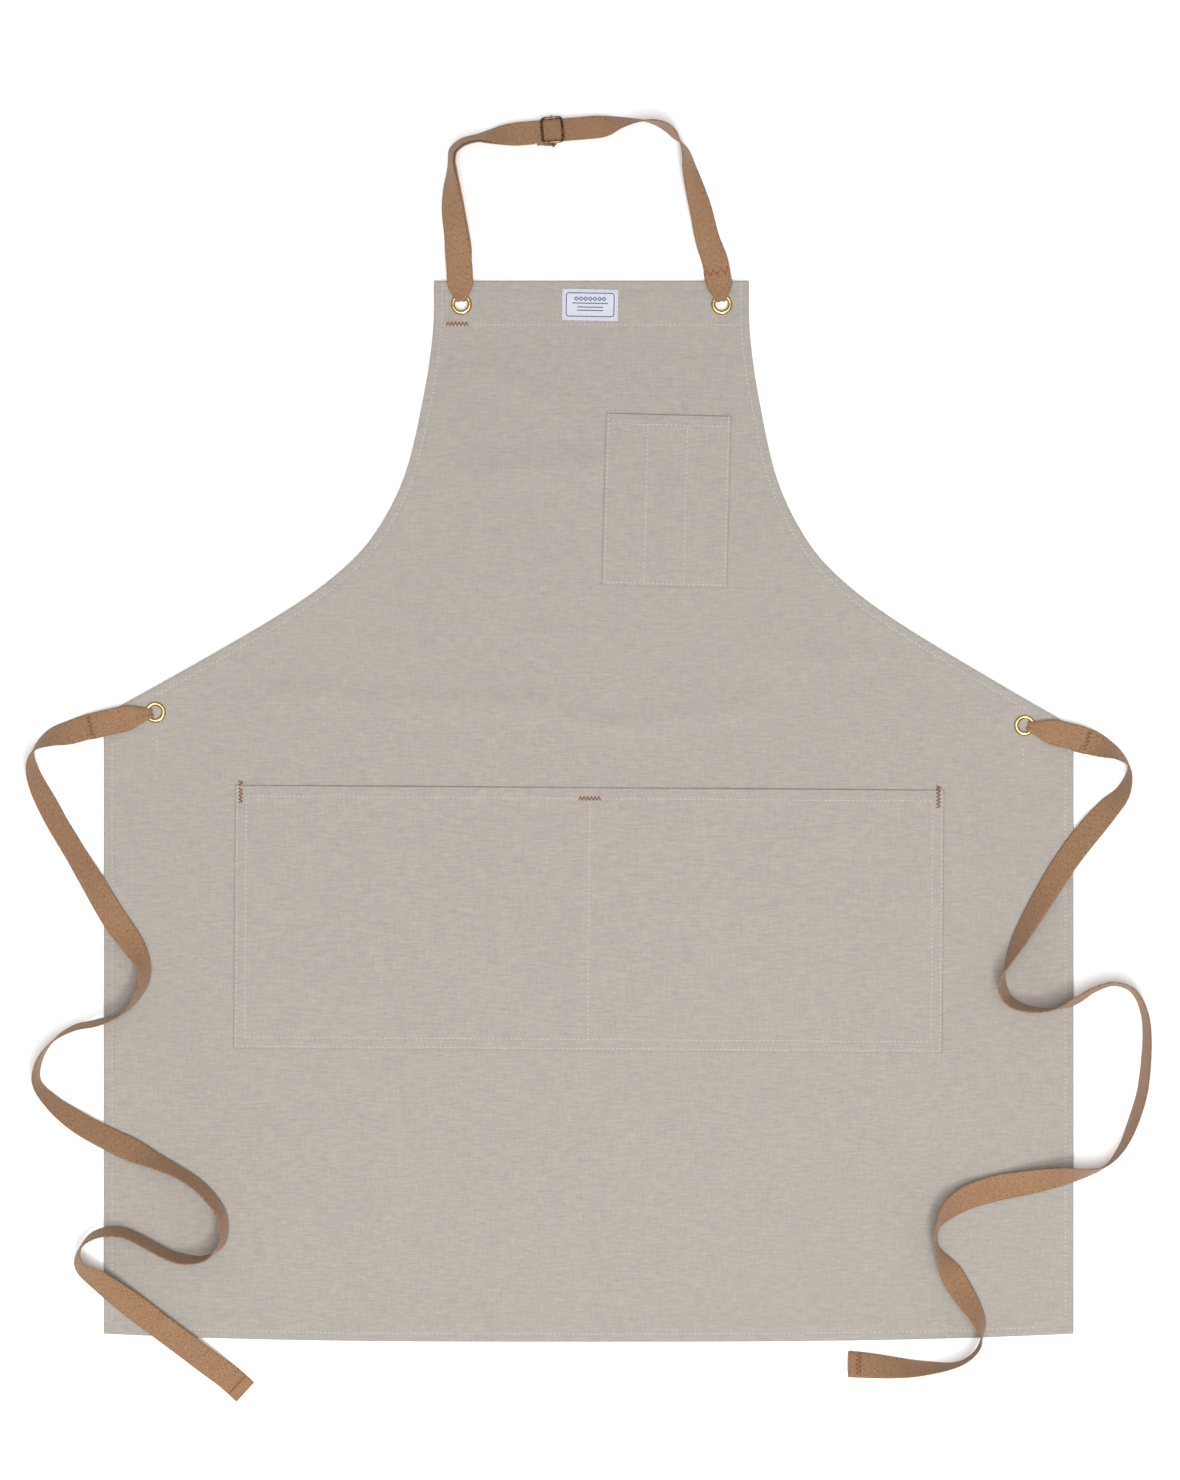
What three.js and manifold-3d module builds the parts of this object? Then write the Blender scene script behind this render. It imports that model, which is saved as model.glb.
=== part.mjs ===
// Artist's smock apron, lying flat and face up on a surface. Millimetres, +Z up, neck towards +Y.
// The origin is the middle of the cloth body, on the surface that the apron lies on.
// One canvas body carries a chest pocket and a wide waist pocket. Webbing straps pass through
// four brass eyelets: an adjustable neck strap with a wire slider, and two waist ties.
import * as THREE from 'three';
import { mergeVertices } from 'three/addons/utils/BufferGeometryUtils.js';
import Module from 'manifold-3d';

const wasm = await Module();
wasm.setup();

// ---- Driving dimensions: the cloth body ----
const BODY_WIDTH = 711;
const BODY_LENGTH = 778;
const BIB_WIDTH = 231;
const BIB_SHIFT = 2;
const WAIST_DROP_LEFT = 318;
const WAIST_DROP_RIGHT = 327;
const BOTTOM_BOW = 6;
const CLOTH = 0.75;

// ---- Driving dimensions: hems, seams and pockets ----
const BIB_HEM = 33;
const BIB_TURN = 9;
const SIDE_HEM = 9;
const BOTTOM_HEM = 9;
const ARMHOLE_FACING = 9;
const HEM_STITCH_INSET = 6;
const CHEST_POCKET = { x: 57, drop: 98, width: 92, length: 126, tilt: -1.5 };
const CHEST_DIVIDERS = [-15, 14];
const WAIST_POCKET = { x: 0, drop: 371.5, width: 520, length: 193, tilt: -0.4 };
const POCKET_TURN = 9;
const WAIST_ROW_GAP = 6.6;
const LABEL = { x: 1, drop: 17.5, width: 41, length: 23, tilt: -1, thickness: 0.375 };

// ---- Driving dimensions: eyelets and webbing ----
const BORE_RADIUS = 4.5;
const BARREL_WALL = 0.5;
const FLANGE_RADIUS = 7.9;
const FLANGE_HEIGHT = 1.1;
const NECK_EYELET_INSET = 17;
const NECK_EYELET_SPREAD = 95.5;
const WAIST_EYELET = { left: { inset: 37.6, rise: 1.8 }, right: { inset: 35.8, rise: 1.2 } };
const PATCH_RADIUS = 44;
const WEBBING_WIDTH = 19.05;
const WEBBING_THICKNESS = 1.25;
const GATHERED_WIDTH = 7;
const TIE_GATHER = 24;
const NECK_GATHER = 13;
const SEWN_END = 25.5;
const SEWN_ROW = 23;
const TIP_FOLD = 9.5;
const HINGE_BEYOND_BIB = 12;
const CLOSING_RUN = 16;

// ---- Driving dimensions: slider ----
const WIRE_RADIUS = 0.95;
const SLIDER_LENGTH = 15;
const SLIDER_SIDE_ROOM = 0.6;
const SLIDER_TRAVEL_BACK = 14;

// ---- Clearances and sewing thread ----
const PLY_GAP = 0.125;
const STRAP_GAP = 0.3;
const EYELET_GAP = 0.15;
const LAYER_GAP = 0.4;
const THREAD_WIDTH = 0.7;
const THREAD_HEIGHT = 0.25;
const TACK_THREAD = 1.2;

// ---- Rows of zigzag thread: length, swing to both sides together, number of slants ----
const POCKET_TACK = { length: 16, swing: 2.4, turns: 10 };
const BIB_TACK = { length: 16, swing: 3, turns: 10 };
const STRAP_ROW = { length: 15, swing: 3, turns: 8 };
const TIP_ROW = { length: 15, swing: 2.4, turns: 8 };
const STRAIGHT_ROW = { length: 15, swing: 0.01, turns: 8 };
const LOOP_ROW = { length: 16, swing: 4, turns: 6 };
const SLIDER_ROW = { length: 15, swing: 2, turns: 8 };
const ROW_INSET = 3;
const FOLDED_SHARE = 1.6;

// ---- Levels above the surface, from the bottom up ----
const HEM_BOTTOM = 0;
const BACK_STRAP_LEVEL = PLY_GAP + WEBBING_THICKNESS / 2;
const PATCH_BOTTOM = WEBBING_THICKNESS + 2 * PLY_GAP;
const PATCH_TOP = PATCH_BOTTOM + CLOTH;
const PLY_BOTTOM = PATCH_TOP + PLY_GAP;
const PLY_TOP = PLY_BOTTOM + CLOTH;
const ON_CLOTH = PLY_TOP + PLY_GAP;
const POCKET_TOP = ON_CLOTH + 2 * CLOTH;
const ON_POCKET = POCKET_TOP + PLY_GAP;
const ON_EYELET = ON_CLOTH + FLANGE_HEIGHT + EYELET_GAP;
const FRONT_STRAP_LEVEL = ON_EYELET + WEBBING_THICKNESS / 2;

// ---- Levels of a strap's lower edge along its route ----
const ON_FLOOR = 2 * PLY_GAP;
const ON_FOLD = 2 * PLY_GAP + WEBBING_THICKNESS + LAYER_GAP;
const OVER_CLOTH = ON_CLOTH + 0.5;

const TOP = BODY_LENGTH / 2;
const BOTTOM = -BODY_LENGTH / 2;
const HALF_WIDTH = BODY_WIDTH / 2;
const HALF_BIB = BIB_WIDTH / 2;
const WAIST_Y = { left: TOP - WAIST_DROP_LEFT, right: TOP - WAIST_DROP_RIGHT };
const CORNER_Y = BOTTOM + BOTTOM_BOW;

// Armhole edge as shares of the way out and of the way down, from bib corner to waist corner.
const ARMHOLE_SHARES = [
  [0, 0], [0.003, 0.12], [0.032, 0.27], [0.089, 0.45],
  [0.182, 0.586], [0.295, 0.677], [0.461, 0.767], [0.768, 0.903], [1, 1],
];

// Strap routes, from the eyelet outwards: x, y, height of the strap's lower edge, roll in degrees.
// A positive roll lifts the strap's right-hand edge, and past 90 degrees its back shows.
const LEFT_TIE_ROUTE = [
  [-317.9, 72.8, ON_EYELET, 0], [-336, 69, ON_EYELET, 0], [-355, 64.7, ON_EYELET - 0.3, -6],
  [-367, 62, ON_FOLD, -15], [-380, 58, ON_FLOOR, -25], [-394, 54, ON_FLOOR, -52],
  [-406, 45, ON_FLOOR, -90], [-407, 31, ON_FLOOR, -120], [-393, -1, ON_FLOOR, -144],
  [-377, -28, OVER_CLOTH - 2.15, -144], [-366, -46, OVER_CLOTH, -152], [-346, -80, OVER_CLOTH, -165],
  [-333, -98, OVER_CLOTH, -150], [-325, -113, OVER_CLOTH, -124], [-326, -127, OVER_CLOTH, -112],
  [-340, -147, OVER_CLOTH, -104], [-359, -154, OVER_CLOTH, -107], [-376, -158, ON_FLOOR, -103],
  [-390, -166, ON_FLOOR, -97], [-401, -180, ON_FLOOR, -103], [-404, -197, ON_FLOOR, -110],
  [-393, -212, ON_FLOOR, -127], [-370, -229, OVER_CLOTH - 0.55, -148], [-337, -246, OVER_CLOTH, -155],
  [-317, -255, OVER_CLOTH, -130], [-297, -265, OVER_CLOTH, -118], [-281, -277, OVER_CLOTH, -118],
  [-268, -295, OVER_CLOTH, -114], [-268, -315, OVER_CLOTH, -108], [-280, -326, OVER_CLOTH, -106],
  [-300, -326, OVER_CLOTH, -116], [-342, -307, OVER_CLOTH, -114], [-361, -309, OVER_CLOTH, -112],
  [-371, -318, OVER_CLOTH - 0.75, -92], [-372, -332, OVER_CLOTH - 0.75, -68],
  [-357, -344, OVER_CLOTH, -40], [-322, -371, OVER_CLOTH, -12], [-286, -398, OVER_CLOTH, -8],
  [-262, -417, ON_FLOOR, 0], [-252, -426, ON_FLOOR, 0],
];
const RIGHT_TIE_ROUTE = [
  [319.7, 63.2, ON_EYELET, 0], [334, 59.5, ON_EYELET, 0], [356, 54.5, ON_EYELET - 0.2, 5],
  [367, 51, ON_FOLD, 15], [377, 47, ON_FLOOR, 40], [387, 42, ON_FLOOR, 68], [395, 33, ON_FLOOR, 92],
  [391, 15, ON_FLOOR, 124], [380, 2, OVER_CLOTH - 2.25, 148], [367, -13, OVER_CLOTH - 0.15, 162],
  [348, -38, OVER_CLOTH, 155], [316, -91, OVER_CLOTH, 128], [306, -111, OVER_CLOTH, 102],
  [302, -124, OVER_CLOTH, 76], [306, -137, OVER_CLOTH, 68], [322, -144, OVER_CLOTH, 76],
  [340, -144, OVER_CLOTH, 82], [356, -138, OVER_CLOTH, 75], [370, -130, OVER_CLOTH - 2.55, 80],
  [385, -126, ON_FLOOR, 83], [398, -131, ON_FLOOR, 80], [407, -150, ON_FLOOR, 74],
  [406, -198, ON_FLOOR, 67], [400, -222, ON_FLOOR, 66], [389, -247, ON_FLOOR, 76],
  [377, -260, ON_FLOOR, 90], [364, -264, OVER_CLOTH - 0.55, 106], [352, -266, OVER_CLOTH, 124],
  [319, -272, OVER_CLOTH, 157], [298, -276, OVER_CLOTH, 172], [276, -283, OVER_CLOTH, 155],
  [262, -293, OVER_CLOTH, 137], [254, -306, OVER_CLOTH, 104], [254, -318, OVER_CLOTH, 70],
  [268, -343, OVER_CLOTH, 24], [286, -374, OVER_CLOTH, 62], [286, -389, OVER_CLOTH, 96],
  [275, -402, 0.5, 92], [247, -407, ON_FLOOR, 58], [190, -405, ON_FLOOR, 0],
];
const NECK_ROUTE = [
  [-95, 401, ON_EYELET, 0], [-97, 420, 2.2, 25], [-100, 441, 2.2, 38], [-101, 456, 2, 56],
  [-101, 467, 1.6, 72], [-101, 476, 1, 81], [-99.5, 484, 1, 78], [-93, 490, 1, 79],
  [-83, 493, 1.5, 80], [-73, 494.1, 3, 66], [-62, 495.06, 5, 44], [-50, 496.07, 5.2, 30],
  [-27, 498, 5.2, 30], [4, 500.6, 5.2, 30], [12, 501.28, 4.6, 38], [21, 503.4, 3, 60],
  [31, 505, 1, 78], [40, 505.4, ON_FLOOR, 90], [49, 504, ON_FLOOR, 101], [57, 500.5, ON_FLOOR, 108],
  [62.5, 495.5, ON_FLOOR, 106], [67, 490, ON_FLOOR, 90], [71, 483, ON_FLOOR, 75],
  [74, 470, ON_FLOOR, 57], [77, 459, 0.5, 46], [82, 441, 1.2, 32], [87, 419, 2.2, 22],
  [93, 401, ON_EYELET, 0],
];
const SLIDER_POINT = 12;
const TIE_STEPS = 80;
const NECK_STEPS = 72;

const apron = new THREE.Group();

// ---- Finishes ----
const finish = (color, roughness, metalness = 0) =>
  new THREE.MeshStandardMaterial({ color, roughness, metalness });
const canvas = () => finish('#beb8b2', 0.95);
const webbing = () => finish('#9c7654', 0.9);
const brass = () => finish('#d3ab55', 0.28, 1);
const bronze = () => finish('#57483d', 0.4, 1);
const thread = () => finish('#c9c5bf', 0.85);
const tackThread = () => finish('#a95a2e', 0.7);
const labelCloth = () => finish('#e9e8ee', 0.8);

function addPiece(name, geometry, material, parent = apron) {
  const mesh = new THREE.Mesh(geometry, material);
  mesh.name = name;
  parent.add(mesh);
  return mesh;
}

// ---- Solids ----
function weld(geometry) {
  geometry.deleteAttribute('normal');
  geometry.deleteAttribute('uv');
  return mergeVertices(geometry, 1e-5);
}

function toManifold(geometry) {
  const merged = weld(geometry);
  return new wasm.Manifold(new wasm.Mesh({
    numProp: 3,
    vertProperties: new Float32Array(merged.attributes.position.array),
    triVerts: new Uint32Array(merged.index.array),
  }));
}

function toGeometry(solid) {
  const mesh = solid.getMesh();
  const geometry = new THREE.BufferGeometry();
  geometry.setAttribute('position', new THREE.BufferAttribute(mesh.vertProperties, 3));
  geometry.setIndex(new THREE.BufferAttribute(mesh.triVerts, 1));
  geometry.computeVertexNormals();
  return geometry;
}

function plate(shape, bottom, top, curveSegments = 24) {
  const depth = top - bottom;
  const geometry = new THREE.ExtrudeGeometry(shape, { depth, bevelEnabled: false, curveSegments });
  geometry.translate(0, 0, bottom);
  return geometry;
}

function disc(x, y, radius, bottom, top) {
  return plate(new THREE.Shape().absarc(x, y, radius, 0, 2 * Math.PI, false), bottom, top);
}

// Turned solid about a vertical axis: the profile lists radius and height.
function turned(profile, segments = 36) {
  const points = profile.map(([radius, height]) => new THREE.Vector2(radius, height));
  const geometry = new THREE.LatheGeometry([...points, points[0].clone()], segments);
  const place = geometry.attributes.position;
  for (let i = 0; i < place.count; i++) {
    place.setXYZ(i, place.getX(i), -place.getZ(i), place.getY(i));
  }
  return geometry;
}

// A line moved sideways: a positive distance moves it to the left of its own direction.
function offsetLine(points, distance) {
  return points.map((point, i) => {
    const before = points[Math.max(i - 1, 0)];
    const after = points[Math.min(i + 1, points.length - 1)];
    const into = point.clone().sub(before);
    const out = after.clone().sub(point);
    const a = (into.length() ? into : out).clone().normalize();
    const b = (out.length() ? out : into).clone().normalize();
    const normal = new THREE.Vector2(-a.y - b.y, a.x + b.x).normalize();
    const mitre = distance / Math.max(normal.dot(new THREE.Vector2(-a.y, a.x)), 0.3);
    return point.clone().addScaledVector(normal, mitre);
  });
}

// A flat strip beside a line, between two sideways distances.
function strip(points, from, to) {
  return new THREE.Shape([...offsetLine(points, from), ...offsetLine(points, to).reverse()]);
}

function seam(name, points, level) {
  const half = THREAD_WIDTH / 2;
  addPiece(name, plate(strip(points, -half, half), level, level + THREAD_HEIGHT), thread());
}

// A seam that stops short of an eyelet's flange, where the two would meet.
function seamClearOf(eyelets, name, points, level) {
  const half = THREAD_WIDTH / 2;
  const row = toManifold(plate(strip(points, -half, half), level, level + THREAD_HEIGHT));
  const clear = cutAtEyelets(row, eyelets, FLANGE_RADIUS + PLY_GAP, level - 1, level + 1);
  addPiece(name, toGeometry(clear), thread());
}

// A zigzag of thread: it runs along X and swings along Y.
function zigzagShape({ length, swing, turns }) {
  const rise = TACK_THREAD / 2;
  const path = [];
  for (let i = 0; i <= turns; i++) {
    path.push([-length / 2 + (i * length) / turns, ((i % 2 ? 1 : -1) * swing) / 2]);
  }
  const upper = path.map(([x, y]) => new THREE.Vector2(x, y + rise));
  const lower = path.map(([x, y]) => new THREE.Vector2(x, y - rise)).reverse();
  return new THREE.Shape([...upper, ...lower]);
}

// Joins equal rings of points into one closed solid, with flat ends.
function sweep(rings, closed = false) {
  const count = rings[0].length;
  const position = rings.flat().flatMap((point) => [point.x, point.y, point.z]);
  const index = [];
  const links = closed ? rings.length : rings.length - 1;
  for (let i = 0; i < links; i++) {
    const here = i * count;
    const next = ((i + 1) % rings.length) * count;
    for (let j = 0; j < count; j++) {
      const k = (j + 1) % count;
      if (j < count / 2) {
        index.push(here + j, next + k, here + k, here + j, next + j, next + k);
      } else {
        index.push(here + j, next + j, here + k, here + k, next + j, next + k);
      }
    }
  }
  if (!closed) {
    const last = (rings.length - 1) * count;
    for (let j = 1; j < count - 1; j++) {
      index.push(0, j, j + 1, last, last + j + 1, last + j);
    }
  }
  const geometry = new THREE.BufferGeometry();
  geometry.setAttribute('position', new THREE.Float32BufferAttribute(position, 3));
  geometry.setIndex(index);
  geometry.computeVertexNormals();
  return geometry;
}

// ---- Outline of the cloth body ----
function armhole(side) {
  const out = side === 'left' ? -1 : 1;
  const corner = new THREE.Vector2(BIB_SHIFT + out * HALF_BIB, TOP);
  const waist = new THREE.Vector2(out * HALF_WIDTH, WAIST_Y[side]);
  const points = ARMHOLE_SHARES.map(([across, down]) => new THREE.Vector2(
    corner.x + (waist.x - corner.x) * across,
    corner.y + (waist.y - corner.y) * down,
  ));
  return new THREE.SplineCurve(points).getPoints(32);
}

function bottomEdge(steps = 24) {
  const points = [];
  for (let i = 0; i <= steps; i++) {
    const across = -1 + (2 * i) / steps;
    const bow = BOTTOM_BOW * (1 - Math.abs(across) ** 3);
    points.push(new THREE.Vector2(across * HALF_WIDTH, CORNER_Y - bow));
  }
  return points;
}

function sideEdge(side) {
  const x = side === 'left' ? -HALF_WIDTH : HALF_WIDTH;
  return [new THREE.Vector2(x, CORNER_Y), new THREE.Vector2(x, WAIST_Y[side])];
}

function bodyShape() {
  const left = armhole('left');
  const right = armhole('right').reverse();
  return new THREE.Shape([...left.slice(1), ...bottomEdge(), ...right, left[0]]);
}

const EYELETS = {
  neck_left: { x: BIB_SHIFT - NECK_EYELET_SPREAD, y: TOP - NECK_EYELET_INSET },
  neck_right: { x: BIB_SHIFT + NECK_EYELET_SPREAD, y: TOP - NECK_EYELET_INSET },
  waist_left: { x: WAIST_EYELET.left.inset - HALF_WIDTH, y: WAIST_Y.left + WAIST_EYELET.left.rise },
  waist_right: { x: HALF_WIDTH - WAIST_EYELET.right.inset, y: WAIST_Y.right + WAIST_EYELET.right.rise },
};
const BARREL_RADIUS = BORE_RADIUS + BARREL_WALL;
const BARREL_HOLE = BARREL_RADIUS + PLY_GAP;
const WASHER_HOLE = FLANGE_RADIUS + STRAP_GAP;

function cutAtEyelets(solid, names, radius, bottom, top) {
  return names.reduce((rest, name) => {
    const { x, y } = EYELETS[name];
    return rest.subtract(toManifold(disc(x, y, radius, bottom, top)));
  }, solid);
}

// ---- Cloth body: one ply, its top, side and bottom edges folded under ----
function buildBody() {
  const ply = toManifold(plate(bodyShape(), PLY_BOTTOM, PLY_TOP));
  const outline = toManifold(plate(bodyShape(), HEM_BOTTOM - 1, PLY_TOP + 1));
  const foldTop = PLY_BOTTOM + CLOTH / 2;
  const bibBand = rectangle(BIB_SHIFT, TOP - BIB_HEM / 2, BODY_WIDTH, BIB_HEM);
  const turnBand = rectangle(BIB_SHIFT, TOP - BIB_HEM + BIB_TURN / 2, BODY_WIDTH, BIB_TURN);
  const bibFold = toManifold(plate(bibBand, PATCH_BOTTOM, foldTop));
  const bibTurn = toManifold(plate(turnBand, HEM_BOTTOM, foldTop));
  let folds = bibFold.add(bibTurn);
  for (const side of ['left', 'right']) {
    const inward = side === 'left' ? -SIDE_HEM : SIDE_HEM;
    folds = folds.add(toManifold(plate(strip(sideEdge(side), 0, inward), HEM_BOTTOM, foldTop)));
  }
  folds = folds.add(toManifold(plate(strip(bottomEdge(), 0, BOTTOM_HEM), HEM_BOTTOM, foldTop)));
  const waist = ['waist_left', 'waist_right'];
  folds = cutAtEyelets(folds, waist, PATCH_RADIUS + STRAP_GAP, HEM_BOTTOM - 1, PLY_BOTTOM);
  const neck = ['neck_left', 'neck_right'];
  folds = cutAtEyelets(folds, neck, WASHER_HOLE, HEM_BOTTOM - 1, PLY_BOTTOM);
  let body = ply.add(folds.intersect(outline));
  body = cutAtEyelets(body, Object.keys(EYELETS), BARREL_HOLE, HEM_BOTTOM - 1, PLY_TOP + 1);
  addPiece('cloth_body', toGeometry(body), canvas());
  return outline;
}

function rectangle(x, y, width, length) {
  const half = [width / 2, length / 2];
  return new THREE.Shape([
    new THREE.Vector2(x - half[0], y - half[1]),
    new THREE.Vector2(x + half[0], y - half[1]),
    new THREE.Vector2(x + half[0], y + half[1]),
    new THREE.Vector2(x - half[0], y + half[1]),
  ]);
}

// ---- Facing tapes behind the armholes and patches behind the waist eyelets ----
function buildArmholeFacing(side) {
  const line = armhole(side);
  const inward = side === 'left' ? ARMHOLE_FACING : -ARMHOLE_FACING;
  let facing = toManifold(plate(strip(line, 0, inward), HEM_BOTTOM, PATCH_TOP));
  const bib = toManifold(plate(
    rectangle(0, TOP - BIB_HEM / 2, BODY_WIDTH, BIB_HEM + 2 * STRAP_GAP), HEM_BOTTOM - 1, PATCH_TOP + 1));
  const patchRoom = PATCH_RADIUS + STRAP_GAP;
  facing = cutAtEyelets(facing.subtract(bib), [`waist_${side}`], patchRoom, -1, PATCH_TOP + 1);
  addPiece(`armhole_facing_${side}`, toGeometry(facing), canvas());
}

function buildWaistPatch(side, outline) {
  const { x, y } = EYELETS[`waist_${side}`];
  const patch = toManifold(disc(x, y, PATCH_RADIUS, PATCH_BOTTOM, PATCH_TOP)).intersect(outline);
  const cut = cutAtEyelets(patch, [`waist_${side}`], WASHER_HOLE, PATCH_BOTTOM - 1, PATCH_TOP + 1);
  addPiece(`waist_patch_${side}`, toGeometry(cut), canvas());
}

// ---- Pockets: one ply whose edges are turned under, so it stands one turn proud ----
function buildPocket(name, size) {
  const group = new THREE.Group();
  group.position.set(size.x, TOP - size.drop - size.length / 2, 0);
  group.rotation.z = THREE.MathUtils.degToRad(size.tilt);
  apron.add(group);
  const outer = rectangle(0, 0, size.width, size.length);
  const inner = rectangle(0, 0, size.width - 2 * POCKET_TURN, size.length - 2 * POCKET_TURN);
  const whole = toManifold(plate(outer, ON_CLOTH, POCKET_TOP));
  const hollow = toManifold(plate(inner, ON_CLOTH - 1, ON_CLOTH + CLOTH));
  addPiece(name, toGeometry(whole.subtract(hollow)), canvas(), group);
  return group;
}

function pocketSeam(name, group, points) {
  const half = THREAD_WIDTH / 2;
  const line = points.map(([x, y]) => new THREE.Vector2(x, y));
  addPiece(name, plate(strip(line, -half, half), ON_POCKET, ON_POCKET + THREAD_HEIGHT), thread(), group);
}

function sideAndBottomRow(size, inset) {
  const x = size.width / 2 - inset;
  const top = size.length / 2 - 1;
  return [[-x, top], [-x, -size.length / 2 + inset], [x, -size.length / 2 + inset], [x, top]];
}

function tack(name, group, x, y, level, upright) {
  const shape = zigzagShape(POCKET_TACK);
  const mesh = addPiece(name, plate(shape, level, level + THREAD_HEIGHT), tackThread(), group);
  mesh.position.set(x, y, 0);
  mesh.rotation.z = upright ? Math.PI / 2 : 0;
}

function buildChestPocket() {
  const group = buildPocket('chest_pocket', CHEST_POCKET);
  const { width, length } = CHEST_POCKET;
  const inset = 2;
  const hemRow = length / 2 - 7.6;
  pocketSeam('chest_pocket_edge_seam', group, sideAndBottomRow(CHEST_POCKET, inset));
  const row = width / 2 - inset - 1.5;
  pocketSeam('chest_pocket_hem_seam', group, [[-row, hemRow], [row, hemRow]]);
  CHEST_DIVIDERS.forEach((x, i) => {
    const ends = [[x, hemRow - 1.5], [x, -length / 2 + inset + 1.5]];
    pocketSeam(`chest_pocket_divider_seam_${i + 1}`, group, ends);
  });
}

function buildWaistPocket() {
  const group = buildPocket('waist_pocket', WAIST_POCKET);
  const { width, length } = WAIST_POCKET;
  const inset = 1.8;
  const hemRow = length / 2 - 8;
  const inner = inset + WAIST_ROW_GAP;
  const tackInset = 4.3;
  pocketSeam('waist_pocket_outer_seam', group, sideAndBottomRow(WAIST_POCKET, inset));
  const innerRow = sideAndBottomRow(WAIST_POCKET, inner);
  innerRow[0][1] = innerRow[3][1] = hemRow - 1.5;
  pocketSeam('waist_pocket_inner_seam', group, innerRow);
  const row = width / 2 - inner - 2;
  pocketSeam('waist_pocket_hem_seam', group, [[-row, hemRow], [-10, hemRow]]);
  pocketSeam('waist_pocket_hem_seam_right', group, [[10, hemRow], [row, hemRow]]);
  pocketSeam('waist_pocket_divider_seam', group, [[0, hemRow - 3.5], [0, -length / 2 + inner + 1.5]]);
  tack('waist_pocket_tack_left', group, -width / 2 + tackInset, length / 2 - 8.5, ON_POCKET, true);
  tack('waist_pocket_tack_middle', group, 0, hemRow, ON_POCKET, false);
  tack('waist_pocket_tack_right', group, width / 2 - tackInset, length / 2 - 8.5, ON_POCKET, true);
}

// ---- Woven label on the bib, sewn down all round ----
function buildLabel() {
  const group = new THREE.Group();
  group.position.set(LABEL.x, TOP - LABEL.drop, 0);
  group.rotation.z = THREE.MathUtils.degToRad(LABEL.tilt);
  apron.add(group);
  const top = ON_CLOTH + LABEL.thickness;
  addPiece('label', plate(rectangle(0, 0, LABEL.width, LABEL.length), ON_CLOTH, top), labelCloth(), group);
  const inset = 1;
  const outer = rectangle(0, 0, LABEL.width - 2 * inset, LABEL.length - 2 * inset);
  const within = 2 * (inset + THREAD_WIDTH);
  outer.holes.push(rectangle(0, 0, LABEL.width - within, LABEL.length - within));
  const level = top + PLY_GAP;
  addPiece('label_seam', plate(outer, level, level + THREAD_HEIGHT), thread(), group);
}

// ---- Seams that hold the folded edges ----
function buildHemSeams() {
  const level = ON_CLOTH;
  const bibRow = TOP - BIB_HEM + 1;
  const bibInset = HEM_STITCH_INSET + 2;
  const half = HALF_BIB - bibInset;
  seam('bib_hem_seam', [
    new THREE.Vector2(BIB_SHIFT - half, bibRow), new THREE.Vector2(BIB_SHIFT + half, bibRow),
  ], level);
  for (const side of ['left', 'right']) {
    const inward = side === 'left' ? 1 : -1;
    const line = armhole(side).filter((point) => point.y < TOP - 2);
    const armholeRow = offsetLine(line, inward * HEM_STITCH_INSET).slice(0, -2);
    seamClearOf([`neck_${side}`, `waist_${side}`], `armhole_seam_${side}`, armholeRow, level);
    const edge = sideEdge(side);
    edge[0].y += BOTTOM_HEM + 2;
    edge[1].y -= PATCH_RADIUS / 2;
    seam(`side_hem_seam_${side}`, offsetLine(edge, -inward * HEM_STITCH_INSET), level);
    const { x, y } = EYELETS[`waist_${side}`];
    const patchEnd = y - PATCH_RADIUS / 2;
    seam(`waist_patch_seam_${side}`, [
      new THREE.Vector2(x + inward, patchEnd + 4), new THREE.Vector2(x + inward, patchEnd - 6),
    ], level);
  }
  seam('bottom_hem_seam', offsetLine(bottomEdge(), HEM_STITCH_INSET).slice(1, -1), level);
  const tackShape = plate(zigzagShape(BIB_TACK), level, level + THREAD_HEIGHT);
  const tackX = BIB_SHIFT - HALF_BIB + BIB_TACK.length / 2 + HEM_STITCH_INSET + ROW_INSET;
  addPiece('bib_tack', tackShape, tackThread()).position.set(tackX, bibRow + ROW_INSET, 0);
}

// ---- Eyelets: a flanged barrel rolled over a washer ----
const WASHER_TOP = PATCH_TOP;
const WASHER_BOTTOM = WASHER_TOP - 0.375;
const LIP_TOP = WASHER_BOTTOM - PLY_GAP;
const LIP_BOTTOM = LIP_TOP - 0.2;

function buildEyelet(name, { x, y }) {
  const crown = ON_CLOTH + FLANGE_HEIGHT;
  const barrel = turned([
    [BORE_RADIUS, LIP_BOTTOM], [BARREL_RADIUS + 1.2, LIP_BOTTOM], [BARREL_RADIUS + 1.2, LIP_TOP],
    [BARREL_RADIUS, LIP_TOP], [BARREL_RADIUS, ON_CLOTH], [FLANGE_RADIUS, ON_CLOTH],
    [FLANGE_RADIUS - 0.3, ON_CLOTH + 0.5], [FLANGE_RADIUS - 1.2, crown - 0.1],
    [FLANGE_RADIUS - 2, crown], [BORE_RADIUS + 0.4, crown - 0.3], [BORE_RADIUS, crown - 0.8],
  ]);
  addPiece(`eyelet_${name}`, barrel, brass()).position.set(x, y, 0);
  const washer = turned([
    [BARREL_RADIUS + PLY_GAP, WASHER_BOTTOM], [FLANGE_RADIUS, WASHER_BOTTOM],
    [FLANGE_RADIUS, WASHER_TOP], [BARREL_RADIUS + PLY_GAP, WASHER_TOP],
  ]);
  addPiece(`eyelet_washer_${name}`, washer, brass()).position.set(x, y, 0);
}

// ---- Webbing ----
const UP = new THREE.Vector3(0, 0, 1);
const smooth = (share) => THREE.MathUtils.smoothstep(share, 0, 1);
const mix = (a, b, share) => a + (b - a) * share;

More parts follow.
